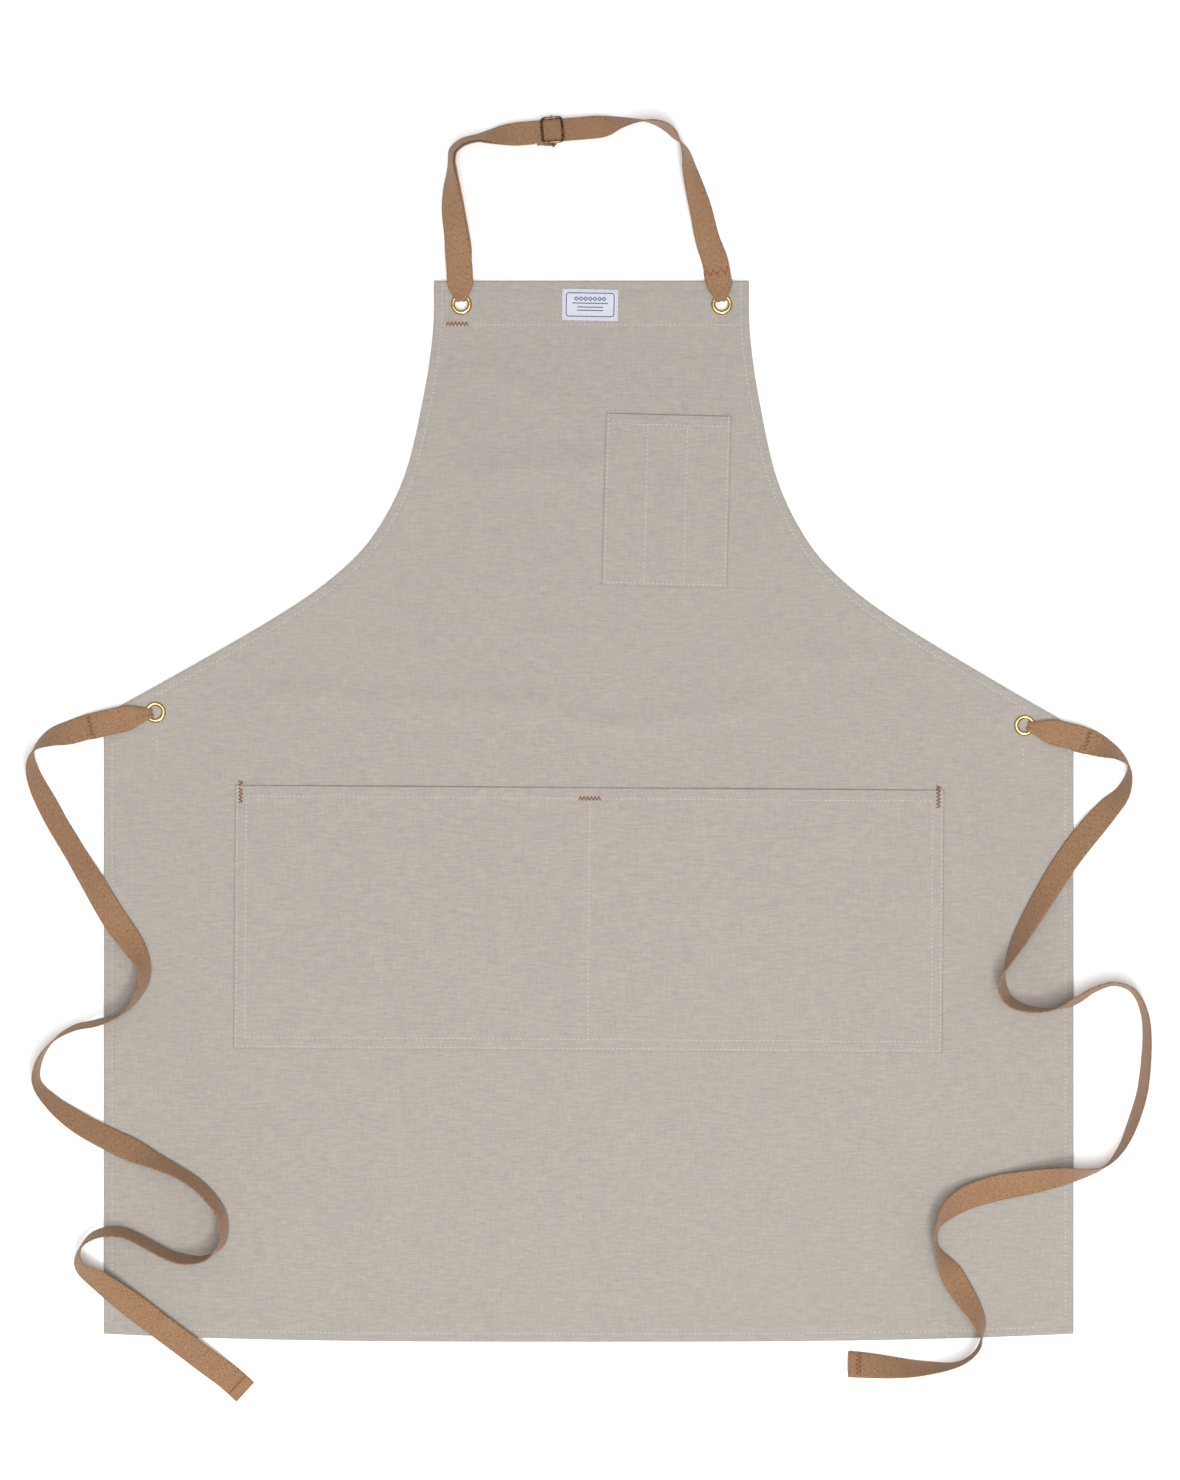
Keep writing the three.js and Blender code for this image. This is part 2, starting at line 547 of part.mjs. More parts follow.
// A station is a point on the strap with its half width and half thickness as vectors.
const station = (point, side, normal) => ({ point, side, normal });
const ringOf = ({ point, side, normal }) => [
  point.clone().add(side).add(normal), point.clone().sub(side).add(normal),
  point.clone().sub(side).sub(normal), point.clone().add(side).sub(normal),
];

// A rolled strap along its route, as evenly spaced frames.
function strapFrames(route, steps) {
  const curve = new THREE.CatmullRomCurve3(route.map(([x, y]) => new THREE.Vector3(x, y, 0)));
  curve.arcLengthDivisions = 1200;
  const length = curve.getLength();
  const frames = [];
  for (let i = 0; i <= steps; i++) {
    const t = curve.getUtoTmapping(i / steps);
    const place = Math.min(t * (route.length - 1), route.length - 1 - 1e-9);
    const from = route[Math.floor(place)];
    const to = route[Math.floor(place) + 1];
    const share = smooth(place - Math.floor(place));
    const lift = mix(from[2], to[2], share);
    const roll = THREE.MathUtils.degToRad(mix(from[3], to[3], share));
    const tangent = curve.getTangent(t).setZ(0).normalize();
    const level = new THREE.Vector3().crossVectors(tangent, UP);
    const across = level.clone().multiplyScalar(Math.cos(roll)).addScaledVector(UP, Math.sin(roll));
    const normal = UP.clone().multiplyScalar(Math.cos(roll)).addScaledVector(level, -Math.sin(roll));
    const point = curve.getPoint(t);
    const edgeHeight = WEBBING_WIDTH * Math.abs(Math.sin(roll));
    point.z = lift + (edgeHeight + WEBBING_THICKNESS * Math.abs(Math.cos(roll))) / 2;
    frames.push({ point, tangent, across, normal, distance: (i / steps) * length });
  }
  return frames;
}

const gatheredWidth = (distance, gather) =>
  mix(GATHERED_WIDTH, WEBBING_WIDTH, smooth(Math.min(distance / gather, 1)));

// The turn through an eyelet: from the layer behind the cloth, up the bore, to the layer in front.
function eyeletTurn(eyelet, direction, backLength, gather) {
  const side = new THREE.Vector3().crossVectors(direction, UP);
  const half = WEBBING_THICKNESS / 2;
  const at = (distance, z) => new THREE.Vector3(eyelet.x, eyelet.y, z).addScaledVector(direction, distance);
  const wide = (distance) => side.clone().multiplyScalar(gatheredWidth(distance, gather) / 2);
  const stations = [];
  const legSteps = 5;
  for (let i = 0; i < legSteps; i++) {
    const distance = mix(backLength, half + 1, i / (legSteps - 1));
    const down = UP.clone().multiplyScalar(-half);
    stations.push(station(at(distance, BACK_STRAP_LEVEL), wide(distance), down));
  }
  const lower = direction.clone().add(UP).multiplyScalar(-half);
  const upper = UP.clone().sub(direction).multiplyScalar(half);
  stations.push(station(at(0, BACK_STRAP_LEVEL), wide(0), lower));
  stations.push(station(at(0, FRONT_STRAP_LEVEL), wide(0), upper));
  return stations;
}

function buildTie(side, chosenRoute) {
  const eyelet = EYELETS[`waist_${side}`];
  const [startX, startY] = chosenRoute[0];
  const route = chosenRoute.map(([x, y, lift, roll]) => (
    [x + eyelet.x - startX, y + eyelet.y - startY, lift, roll]));
  const start = new THREE.Vector3(eyelet.x, eyelet.y, 0);
  const fold = new THREE.Vector3(route[3][0], route[3][1], 0);
  const direction = fold.clone().sub(start).normalize();
  const stations = eyeletTurn(eyelet, direction, fold.distanceTo(start), TIE_GATHER);
  const frames = strapFrames(route, TIE_STEPS);
  const total = frames[frames.length - 1].distance;
  for (const frame of frames.slice(1)) {
    const half = gatheredWidth(frame.distance, TIE_GATHER) / 2;
    const folded = total - frame.distance < TIP_FOLD;
    const thick = (WEBBING_THICKNESS / 2) * (folded ? FOLDED_SHARE : 1);
    const point = frame.point.clone();
    point.z += thick - WEBBING_THICKNESS / 2;
    const across = frame.across.clone().multiplyScalar(half);
    stations.push(station(point, across, frame.normal.clone().multiplyScalar(thick)));
  }
  addPiece(`${side}_tie`, sweep(stations.map(ringOf)), webbing());
  const foldRow = frameNear(frames, start.distanceTo(fold) - ROW_INSET);
  strapStitch(`${side}_tie_fold_stitch`, foldRow, STRAP_ROW, WEBBING_THICKNESS / 2);
  const tip = frameNear(frames, total - TIP_FOLD + ROW_INSET);
  const row = side === 'left' ? STRAIGHT_ROW : TIP_ROW;
  strapStitch(`${side}_tie_tip_stitch`, tip, row, WEBBING_THICKNESS * FOLDED_SHARE / 2 + STRAP_GAP);
}

const frameNear = (frames, distance) =>
  frames.reduce((best, frame) => (
    Math.abs(frame.distance - distance) < Math.abs(best.distance - distance) ? frame : best));

// A zigzag row of thread across the front of a strap.
function strapStitch(name, frame, row, above) {
  const geometry = plate(zigzagShape(row), 0, THREAD_HEIGHT);
  const mesh = addPiece(name, geometry, tackThread());
  const basis = new THREE.Matrix4().makeBasis(frame.across, frame.tangent, frame.normal);
  mesh.quaternion.setFromRotationMatrix(basis);
  mesh.position.copy(frame.point).addScaledVector(frame.normal, above + STRAP_GAP);
}

// Half of a strap's end where it is cut along X, whatever way the strap runs.
const squareCut = (half, direction) => new THREE.Vector3(half / Math.abs(direction.y), 0, 0)
  .multiplyScalar(Math.sign(direction.y));

// ---- Neck strap: two sewn or looped ends on the bib, and the part that lifts over the head ----
const HINGE_Y = TOP + HINGE_BEYOND_BIB;

function buildNeckLoop(side, backLength) {
  const eyelet = EYELETS[`neck_${side}`];
  const route = side === 'left' ? NECK_ROUTE[0] : NECK_ROUTE[NECK_ROUTE.length - 1];
  const reach = new THREE.Vector3(route[0] - eyelet.x, HINGE_Y - eyelet.y, 0);
  const direction = reach.clone().normalize();
  const length = (HINGE_Y - STRAP_GAP - eyelet.y - 0.5) / direction.y;
  const stations = eyeletTurn(eyelet, direction, backLength ?? length, NECK_GATHER);
  const across = new THREE.Vector3().crossVectors(direction, UP);
  for (let i = 1; i <= 5; i++) {
    const distance = mix(2, length, i / 5);
    const point = new THREE.Vector3(eyelet.x, eyelet.y, FRONT_STRAP_LEVEL);
    point.addScaledVector(direction, distance);
    const wide = gatheredWidth(distance, NECK_GATHER) / 2;
    const reachSide = i === 5 ? squareCut(wide, direction) : across.clone().multiplyScalar(wide);
    stations.push(station(point, reachSide, UP.clone().multiplyScalar(WEBBING_THICKNESS / 2)));
  }
  if (!backLength) stations[0].side = squareCut(WEBBING_WIDTH / 2, direction);
  addPiece(`neck_strap_loop_${side}`, sweep(stations.map(ringOf)), webbing());
  return { direction, across, length, eyelet };
}

function buildNeckStrap() {
  const startY = NECK_ROUTE[0][1];
  const route = NECK_ROUTE.map(([x, y, lift, roll]) => [x, y + HINGE_Y - startY, lift, roll]);
  const frames = strapFrames(route, NECK_STEPS);
  for (const end of [frames[0], frames[frames.length - 1]]) {
    end.across = squareCut(1, end.tangent);
  }
  const half = WEBBING_WIDTH / 2;
  const thick = WEBBING_THICKNESS / 2;
  const running = frames.map(({ point, across, normal }) => ringOf(
    station(point, across.clone().multiplyScalar(half), normal.clone().multiplyScalar(thick))));
  addPiece('neck_strap', sweep(running), webbing());
  const [sliderX, sliderY] = route[SLIDER_POINT];
  const fromSlider = ({ point }) => Math.hypot(point.x - sliderX, point.y - sliderY);
  const sliderFrame = frames.reduce((best, frame) => (
    fromSlider(frame) < fromSlider(best) ? frame : best));
  const hangDown = FRONT_STRAP_LEVEL - BACK_STRAP_LEVEL;
  const snug = WEBBING_THICKNESS + LAYER_GAP;
  const loopEnd = sliderFrame.distance - END_LOOP_LENGTH - SLIDER_TRAVEL_BACK - 1;
  const runBack = frames.filter((frame) => frame.distance < loopEnd);
  const back = runBack.map((frame) => {
    const away = mix(hangDown, snug, smooth(Math.min(frame.distance / CLOSING_RUN, 1)));
    const point = frame.point.clone().addScaledVector(frame.normal, -away);
    const across = frame.across.clone().multiplyScalar(half - LAYER_GAP);
    return ringOf(station(point, across, frame.normal.clone().multiplyScalar(thick)));
  });
  addPiece('neck_strap_return', sweep(back), webbing());
  return sliderFrame;
}

// ---- Slider: a closed wire frame over the strap, its middle bar dropped below the strap ----
const FRAME_RISE = WEBBING_THICKNESS / 2 + STRAP_GAP + WIRE_RADIUS;
const BAR_DROP = WEBBING_THICKNESS * 1.5 + 2 * STRAP_GAP + WIRE_RADIUS;
const END_BAR = WEBBING_WIDTH / 2 + SLIDER_SIDE_ROOM + WIRE_RADIUS;
const END_LOOP_LENGTH = 12;

function wireRing(point, out, up) {
  const ring = [];
  for (let i = 0; i < 10; i++) {
    const angle = (i / 10) * 2 * Math.PI;
    ring.push(point.clone()
      .addScaledVector(out, WIRE_RADIUS * Math.cos(angle))
      .addScaledVector(up, WIRE_RADIUS * Math.sin(angle)));
  }
  return ring;
}

function buildSlider(frame) {
  const group = new THREE.Group();
  const basis = new THREE.Matrix4().makeBasis(frame.across, frame.tangent, frame.normal);
  group.quaternion.setFromRotationMatrix(basis);
  group.position.copy(frame.point);
  apron.add(group);
  const corner = 3;
  const halfRun = SLIDER_LENGTH / 2;
  const rings = [];
  for (const [cx, cy, first] of [[1, 1, 0], [-1, 1, 1], [-1, -1, 2], [1, -1, 3]]) {
    const middle = new THREE.Vector3(cx * (END_BAR - corner), cy * (halfRun - corner), FRAME_RISE);
    for (let i = 0; i <= 5; i++) {
      const angle = (first + i / 5) * (Math.PI / 2);
      const out = new THREE.Vector3(Math.cos(angle), Math.sin(angle), 0);
      rings.push(wireRing(middle.clone().addScaledVector(out, corner), out, UP));
    }
  }
  const ringSolid = toManifold(sweep(rings, true));
  const posts = [[-1, FRAME_RISE], [-1, -BAR_DROP], [1, -BAR_DROP], [1, FRAME_RISE]];
  const along = new THREE.Vector3(0, 1, 0);
  const barRings = posts.map(([end, z], i) => {
    const point = new THREE.Vector3(end * END_BAR, 0, z);
    const corners = i === 1 || i === 2;
    const out = corners ? new THREE.Vector3(end, 0, -1) : new THREE.Vector3(end, 0, 0);
    return wireRing(point, out, along);
  });
  const bar = toManifold(sweep(barRings.map((ring) => ring.reverse())));
  addPiece('slider', toGeometry(ringSolid.add(bar)), bronze(), group);
  buildEndLoop(group);
}

// The strap's end, wrapped round the middle bar and sewn to itself.
function buildEndLoop(group) {
  const wrap = WIRE_RADIUS + STRAP_GAP + WEBBING_THICKNESS / 2;
  const path = [[-END_LOOP_LENGTH, -BAR_DROP + wrap], [-4, -BAR_DROP + wrap]];
  for (let i = 0; i <= 6; i++) {
    const angle = Math.PI / 2 - (i / 6) * Math.PI;
    path.push([wrap * Math.cos(angle), -BAR_DROP + wrap * Math.sin(angle)]);
  }
  const laid = -BAR_DROP + wrap - WEBBING_THICKNESS - STRAP_GAP;
  path.push([-5, laid - 1.6], [-8.5, laid], [-END_LOOP_LENGTH, laid]);
  const line = path.map(([x, y]) => new THREE.Vector2(x, y));
  const outerLine = offsetLine(line, WEBBING_THICKNESS / 2);
  const innerLine = offsetLine(line, -WEBBING_THICKNESS / 2);
  const half = WEBBING_WIDTH / 2 - 0.3;
  const rings = line.map((_, i) => [
    new THREE.Vector3(half, outerLine[i].x, outerLine[i].y),
    new THREE.Vector3(-half, outerLine[i].x, outerLine[i].y),
    new THREE.Vector3(-half, innerLine[i].x, innerLine[i].y),
    new THREE.Vector3(half, innerLine[i].x, innerLine[i].y),
  ]);
  addPiece('neck_strap_end_loop', sweep(rings), webbing(), group);
  const level = laid - WEBBING_THICKNESS / 2 - STRAP_GAP - THREAD_HEIGHT;
  const row = plate(zigzagShape(SLIDER_ROW), level, level + THREAD_HEIGHT);
  const stitch = addPiece('slider_fold_stitch', row, tackThread(), group);
  stitch.position.set(0, 2 - END_LOOP_LENGTH, 0);
}

// ---- Assembly ----
const outline = buildBody();
for (const side of ['left', 'right']) {
  buildArmholeFacing(side);
  buildWaistPatch(side, outline);
}
buildHemSeams();
buildChestPocket();
buildWaistPocket();
buildLabel();
for (const [name, eyelet] of Object.entries(EYELETS)) {
  buildEyelet(name, eyelet);
}
buildNeckLoop('left');
const rightLoop = buildNeckLoop('right', SEWN_END);
const { x: loopX, y: loopY } = rightLoop.eyelet;
const sewnRow = new THREE.Vector3(loopX, loopY, FRONT_STRAP_LEVEL);
strapStitch('neck_strap_fold_stitch', {
  across: rightLoop.across,
  tangent: rightLoop.direction,
  normal: UP,
  point: sewnRow.addScaledVector(rightLoop.direction, SEWN_ROW),
}, LOOP_ROW, WEBBING_THICKNESS / 2);
buildSlider(buildNeckStrap());
buildTie('left', LEFT_TIE_ROUTE);
buildTie('right', RIGHT_TIE_ROUTE);

export default apron;
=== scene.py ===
import math
from collections import namedtuple

import bpy
import numpy as np
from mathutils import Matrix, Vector


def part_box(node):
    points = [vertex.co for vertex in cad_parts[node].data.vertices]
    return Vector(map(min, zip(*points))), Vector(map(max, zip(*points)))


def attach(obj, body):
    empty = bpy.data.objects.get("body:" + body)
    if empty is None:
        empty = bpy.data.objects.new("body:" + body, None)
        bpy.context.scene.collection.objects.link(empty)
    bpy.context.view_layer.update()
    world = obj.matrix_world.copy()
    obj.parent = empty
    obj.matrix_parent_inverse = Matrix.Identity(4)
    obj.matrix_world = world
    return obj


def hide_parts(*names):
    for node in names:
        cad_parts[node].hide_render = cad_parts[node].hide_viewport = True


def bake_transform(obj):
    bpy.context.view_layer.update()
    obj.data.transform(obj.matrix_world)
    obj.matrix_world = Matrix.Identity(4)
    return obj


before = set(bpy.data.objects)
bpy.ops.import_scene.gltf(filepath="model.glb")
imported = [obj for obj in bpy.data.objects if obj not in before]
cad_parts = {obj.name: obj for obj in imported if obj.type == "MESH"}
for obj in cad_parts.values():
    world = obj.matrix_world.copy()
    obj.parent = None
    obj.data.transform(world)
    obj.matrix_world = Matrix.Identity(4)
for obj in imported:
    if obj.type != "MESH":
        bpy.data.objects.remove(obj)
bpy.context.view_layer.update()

bl_info = {
    "name": "Studio Apron",
    "version": (1, 0, 0),
    "blender": (4, 5, 0),
    "location": "View3D > Sidebar > Apron",
    "description": "Builds a canvas studio apron laid flat, with webbing straps, pockets and brass eyelets",
    "category": "Object",
}

MM = 0.001

# Cut sizes and lengths of the soft pieces, in metres.
PATCH_RADIUS = 44 * MM
TIE_LENGTHS = {"left": 0.881, "right": 0.856}

# Two y near the bib's top; the neck strap step reads them but makes nothing from them.
BIB_BEND = (0.392, 0.420)


def srgb(code):
    """Turns a hex colour, as seen on a screen, into linear red, green and blue."""
    channels = [int(code[i : i + 2], 16) / 255 for i in (1, 3, 5)]
    return tuple(c / 12.92 if c <= 0.04045 else ((c + 0.055) / 1.055) ** 2.4 for c in channels)


# ---------------------------------------------------------------- sizes and colours


def length_property(name, description, default):
    return bpy.props.FloatProperty(
        name=name, description=description, default=default, min=0, precision=5, unit="LENGTH"
    )


def colour_property(name, description, code):
    return bpy.props.FloatVectorProperty(
        name=name, description=description, default=srgb(code), subtype="COLOR", min=0, max=1
    )


class ApronSizes(bpy.types.PropertyGroup):
    """The sizes of cloth, webbing and thread that a maker would change."""

    bib_width: length_property("Bib width", "Width of the bib at its top edge", 0.231)
    bib_shift: length_property("Bib shift", "How far the bib's middle lies to the right", 0.002)
    waist_drop_left: length_property("Left waist drop", "From the bib's top to the left waist", 0.318)
    waist_drop_right: length_property("Right waist drop", "From the bib's top to the right waist", 0.327)
    bottom_bow: length_property("Bottom bow", "How far the bottom edge bows down", 0.006)
    ply: length_property("Canvas thickness", "Thickness of one layer of canvas", 0.00075)
    hem: length_property("Hem width", "Width of the turned hems and facings", 0.009)
    webbing_width: length_property("Webbing width", "Width of the straps", 0.01905)
    webbing_thickness: length_property("Webbing thickness", "Thickness of the straps", 0.00125)
    gathered_width: length_property("Gathered width", "Width of a strap inside an eyelet", 0.007)
    stitch_pitch: length_property("Stitch pitch", "From one seam stitch to the next", 0.0033)
    stitch_length: length_property("Stitch length", "Length of one seam stitch", 0.0022)
    seam_thread: length_property("Seam thread", "Radius of the seam thread", 0.00035)
    tack_thread: length_property("Tack thread", "Radius of the bar tacks' thread", 0.00038)


class ApronColours(bpy.types.PropertyGroup):
    """The colours of the apron's cloth, thread and metal."""

    canvas_light: colour_property("Light yarn", "Warm, lighter yarns of the canvas", "#a39990")
    canvas_dark: colour_property("Dark yarn", "Cool, darker yarns of the canvas", "#8e8a84")
    webbing: colour_property("Webbing", "Cotton webbing of the straps", "#9a7656")
    # This colour is also what the painted shade on the strap's selvedges darkens to.
    webbing_dark: colour_property("Webbing shade", "Darker yarns of the webbing", "#6b4a31")
    seam_thread: colour_property("Seam thread", "Thread of the seams", "#c5c2bc")
    tack_thread: colour_property("Tack thread", "Thread of the bar tacks", "#84401f")
    label: colour_property("Label", "Ground of the woven label", "#bdbecb")
    label_figure: colour_property("Label figure", "Border and ornament of the label", "#4b5068")
    brass: colour_property("Brass", "Polished brass of the eyelets", "#c3a263")
    bronze: colour_property("Bronze", "Antique bronze of the slider", "#523a2c")


# ---------------------------------------------------------------- small helpers


def smooth(share):
    """Eases from 0 to 1 as share goes from 0 to 1."""
    share = np.clip(share, 0, 1)
    return share * share * (3 - 2 * share)


def blend_of(a, b, share):
    return a + (b - a) * share


def unit(vectors):
    """Vectors scaled to length 1."""
    return vectors / np.linalg.norm(vectors, axis=-1, keepdims=True)


def sizes():
    return bpy.context.scene.apron_sizes


def colours():
    return bpy.context.scene.apron_colours


def centre_of(node):
    low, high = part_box(node)
    return (low + high) / 2


def new_piece(name, points, faces, material):
    """A smooth-shaded mesh object with its place in its mesh."""
    mesh = bpy.data.meshes.new(name)
    mesh.from_pydata([tuple(p) for p in points], [], faces)
    mesh.shade_smooth()
    mesh.materials.append(material)
    mesh.update()
    piece = bpy.data.objects.new(name, mesh)
    bpy.context.scene.collection.objects.link(piece)
    return piece


def settle(piece, body, slot, *nodes):
    """Rides the piece on its body, in place of the nodes. The slot is not used."""
    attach(piece, body)
    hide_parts(*nodes)
    return piece


# ---------------------------------------------------------------- materials


def add(tree, kind, inputs=None, **settings):
    """Adds a node, with its settings, and its inputs by name or place: a value or another socket."""
    node = tree.nodes.new(kind)
    for key, value in settings.items():
        setattr(node, key, value)
    for key, value in (inputs or {}).items():
        if isinstance(value, bpy.types.NodeSocket):
            tree.links.new(value, node.inputs[key])
        else:
            node.inputs[key].default_value = value
    return node


def opaque(colour):
    return (*colour[:], 1)


def new_material(name):
    """A material and its emptied node tree, made once."""
    material = bpy.data.materials.new(name)
    material.use_nodes = True
    material.node_tree.nodes.clear()
    return material, material.node_tree


def finish_material(tree, inputs, **settings):
    shader = add(tree, "ShaderNodeBsdfPrincipled", inputs, **settings)
    add(tree, "ShaderNodeOutputMaterial", {"Surface": shader.outputs[0]})


def stretched_noise(tree, place, scale, detail=2.0):
    """Noise drawn out along the axes whose scale is small, as slubs are along a yarn."""
    mapped = add(tree, "ShaderNodeMapping", {"Vector": place, "Scale": scale})
    settings = {"Vector": mapped.outputs[0], "Scale": 1.0, "Detail": detail, "Roughness": 0.6}
    return add(tree, "ShaderNodeTexNoise", settings).outputs[0]


def math_node(tree, operation, *values):
    return add(tree, "ShaderNodeMath", dict(enumerate(values)), operation=operation).outputs[0]


def ripple(tree, value, pitch):
    """A wave of the given pitch along a value in metres, from -1 to 1."""
    turned = math_node(tree, "MULTIPLY", value, 2 * math.pi / pitch)
    return math_node(tree, "SINE", turned)


def canvas_material():
    """Heathered cotton canvas, plain woven: warm and cool grey yarns with slubs, matt, faint sheen."""
    material, tree = new_material("heathered cotton canvas, plain woven")
    place = add(tree, "ShaderNodeTexCoord").outputs["Object"]
    axes = add(tree, "ShaderNodeSeparateXYZ", {"Vector": place}).outputs
    # Slubs are about 10 mm long and 1.3 mm wide, along the warp and, stronger, along the weft.
    warp = stretched_noise(tree, place, (900, 100, 80))
    weft = stretched_noise(tree, place, (105, 760, 80))
    clouds = stretched_noise(tree, place, (16, 16, 16), 3.0)
    flecks = stretched_noise(tree, place, (620, 620, 620), 1.0)
    yarns = math_node(tree, "MULTIPLY_ADD", weft, 1.7, warp)
    heather = math_node(tree, "MULTIPLY_ADD", yarns, 1.25, -1.34)
    heather = math_node(tree, "MULTIPLY_ADD", clouds, 0.3, heather)
    colour = add(tree, "ShaderNodeMix", {
        "Factor": heather,
        "A": opaque(colours().canvas_dark),
        "B": opaque(colours().canvas_light),
    }, data_type="RGBA", clamp_factor=True)
    cool = add(tree, "ShaderNodeMapRange", {
        "Value": flecks, "From Min": 0.35, "From Max": 0.7, "To Min": 0.0, "To Max": 0.3,
    })
    fleck_colour = (*srgb("#a09f9b"), 1)
    colour = add(tree, "ShaderNodeMix", {
        "Factor": cool.outputs[0], "A": colour.outputs["Result"], "B": fleck_colour,
    }, data_type="RGBA")
    # The real thread spacing of about 0.6 mm is drawn at 1.5 mm, so that the weave can show.
    weave = math_node(tree, "MULTIPLY", ripple(tree, axes["X"], 1.5 * MM), ripple(tree, axes["Y"], 1.5 * MM))
    relief = math_node(tree, "MULTIPLY_ADD", yarns, 0.9, weave)
    bump = add(tree, "ShaderNodeBump", {"Height": relief, "Strength": 0.55, "Distance": 0.11 * MM})
    finish_material(tree, {
        "Base Color": colour.outputs["Result"],
        "Roughness": 0.93,
        "Sheen Weight": 0.12,
        "Sheen Roughness": 0.5,
        "Normal": bump.outputs[0],
    })
    return material


def webbing_material():
    """Cotton webbing, twill woven: slanting ribs across the strap, and painted shade that darkens its
    rounded selvedges.
    """
    material, tree = new_material("cotton webbing, twill woven")
    strap = add(tree, "ShaderNodeUVMap", uv_map="strap").outputs[0]
    axes = add(tree, "ShaderNodeSeparateXYZ", {"Vector": strap}).outputs
    across, along = axes["X"], axes["Y"]
    # Twill ribs slant by 45 degrees to each side of the strap's middle and are 1.5 mm apart.
    slant = math_node(tree, "ADD", math_node(tree, "ABSOLUTE", across), along)
    ribs = ripple(tree, slant, 1.5 * MM)
    rows = ripple(tree, across, 1.05 * MM)
    yarn = stretched_noise(tree, strap, (1000, 420, 1), 2.0)
    worn = stretched_noise(tree, strap, (60, 22, 1), 2.0)
    # Painted shade: over the last 1.3 mm of each side, where the strap's rounded selvedges turn away, the
    # tone falls towards the darker yarn colour.
    edge = add(tree, "ShaderNodeMapRange", {
        "Value": math_node(tree, "ABSOLUTE", across),
        "From Min": sizes().webbing_width / 2 - 1.3 * MM,
        "From Max": sizes().webbing_width / 2 - 0.5 * MM,
        "To Min": 0.0, "To Max": 0.16,
    })
    shade = math_node(tree, "MULTIPLY_ADD", yarn, 2.4, -0.75)
    shade = math_node(tree, "MULTIPLY_ADD", worn, 0.5, shade)
    shade = math_node(tree, "MULTIPLY_ADD", ribs, 0.3, shade)
    # The painted shade of the selvedges is taken off the yarn tone here.
    shade = math_node(tree, "SUBTRACT", shade, edge.outputs[0])
    colour = add(tree, "ShaderNodeMix", {
        "Factor": shade,
        "A": opaque(colours().webbing_dark),
        "B": opaque(colours().webbing),
    }, data_type="RGBA", clamp_factor=True)
    relief = math_node(tree, "MULTIPLY_ADD", rows, 0.5, ribs)
    relief = math_node(tree, "MULTIPLY_ADD", yarn, 1.2, relief)
    bump = add(tree, "ShaderNodeBump", {"Height": relief, "Strength": 0.6, "Distance": 0.12 * MM})
    finish_material(tree, {
        "Base Color": colour.outputs["Result"],
        "Roughness": 0.86,
        "Sheen Weight": 0.15,
        "Sheen Roughness": 0.45,
        "Normal": bump.outputs[0],
    })
    return material


def thread_material(name, colour):
    """Spun polyester thread: fine twist across each stitch and a soft shine."""
    material, tree = new_material(name)
    place = add(tree, "ShaderNodeTexCoord").outputs["Object"]
    twist = stretched_noise(tree, place, (1800, 1800, 1800), 1.0)
    tone = add(tree, "ShaderNodeMapRange", {"Value": twist, "To Min": 0.72, "To Max": 1.12})
    shaded = add(tree, "ShaderNodeVectorMath", {0: colour[:], 1: tone.outputs[0]}, operation="MULTIPLY")
    bump = add(tree, "ShaderNodeBump", {"Height": twist, "Strength": 0.5, "Distance": 0.08 * MM})
    finish_material(tree, {
        "Base Color": shaded.outputs[0],
        "Roughness": 0.6,
        "Sheen Weight": 0.1,
        "Normal": bump.outputs[0],
    })
    return material


def metal_material(name, colour, worn, wear, roughness):
    """Metal with a worn tone in patches and fine scratches from handling."""
    material, tree = new_material(name)
    place = add(tree, "ShaderNodeTexCoord").outputs["Object"]
    patches = stretched_noise(tree, place, (420, 420, 420), 3.0)
    scratches = stretched_noise(tree, place, (5200, 700, 2600), 2.0)
    share = add(tree, "ShaderNodeMapRange", {
        "Value": patches, "From Min": 0.42, "From Max": 0.68, "To Min": 0.0, "To Max": wear,
    })
    mixed = add(tree, "ShaderNodeMix", {
        "Factor": share.outputs[0], "A": opaque(colour), "B": opaque(worn),
    }, data_type="RGBA")
    dull = add(tree, "ShaderNodeMapRange", {
        "Value": scratches, "To Min": roughness * 0.75, "To Max": roughness * 1.5,
    })
    bump = add(tree, "ShaderNodeBump", {"Height": scratches, "Strength": 0.12, "Distance": 0.03 * MM})
    finish_material(tree, {
        "Base Color": mixed.outputs["Result"],
        "Metallic": 1.0,
        "Roughness": dull.outputs[0],
        "Normal": bump.outputs[0],
    })
    return material


def label_material():
    """Damask-woven label ground: fine rows of pale yarn with a satin face."""
    material, tree = new_material("damask label, satin woven")
    place = add(tree, "ShaderNodeTexCoord").outputs["Object"]
    axes = add(tree, "ShaderNodeSeparateXYZ", {"Vector": place}).outputs
    # Yarn rows of about 0.25 mm are drawn at 0.7 mm, so that they can show.
    rows = ripple(tree, axes["Y"], 0.7 * MM)
    yarn = stretched_noise(tree, place, (240, 2200, 500), 2.0)
    tone = math_node(tree, "MULTIPLY_ADD", yarn, 0.3, 0.82)
    tone = math_node(tree, "MULTIPLY_ADD", rows, 0.02, tone)
    shaded = add(tree, "ShaderNodeVectorMath", {0: colours().label[:], 1: tone}, operation="MULTIPLY")
    relief = math_node(tree, "MULTIPLY_ADD", yarn, 1.0, rows)
    bump = add(tree, "ShaderNodeBump", {"Height": relief, "Strength": 0.4, "Distance": 0.06 * MM})
    finish_material(tree, {
        "Base Color": shaded.outputs[0],
        "Roughness": 0.55,
        "Sheen Weight": 0.1,
        "Normal": bump.outputs[0],
    })
    return material


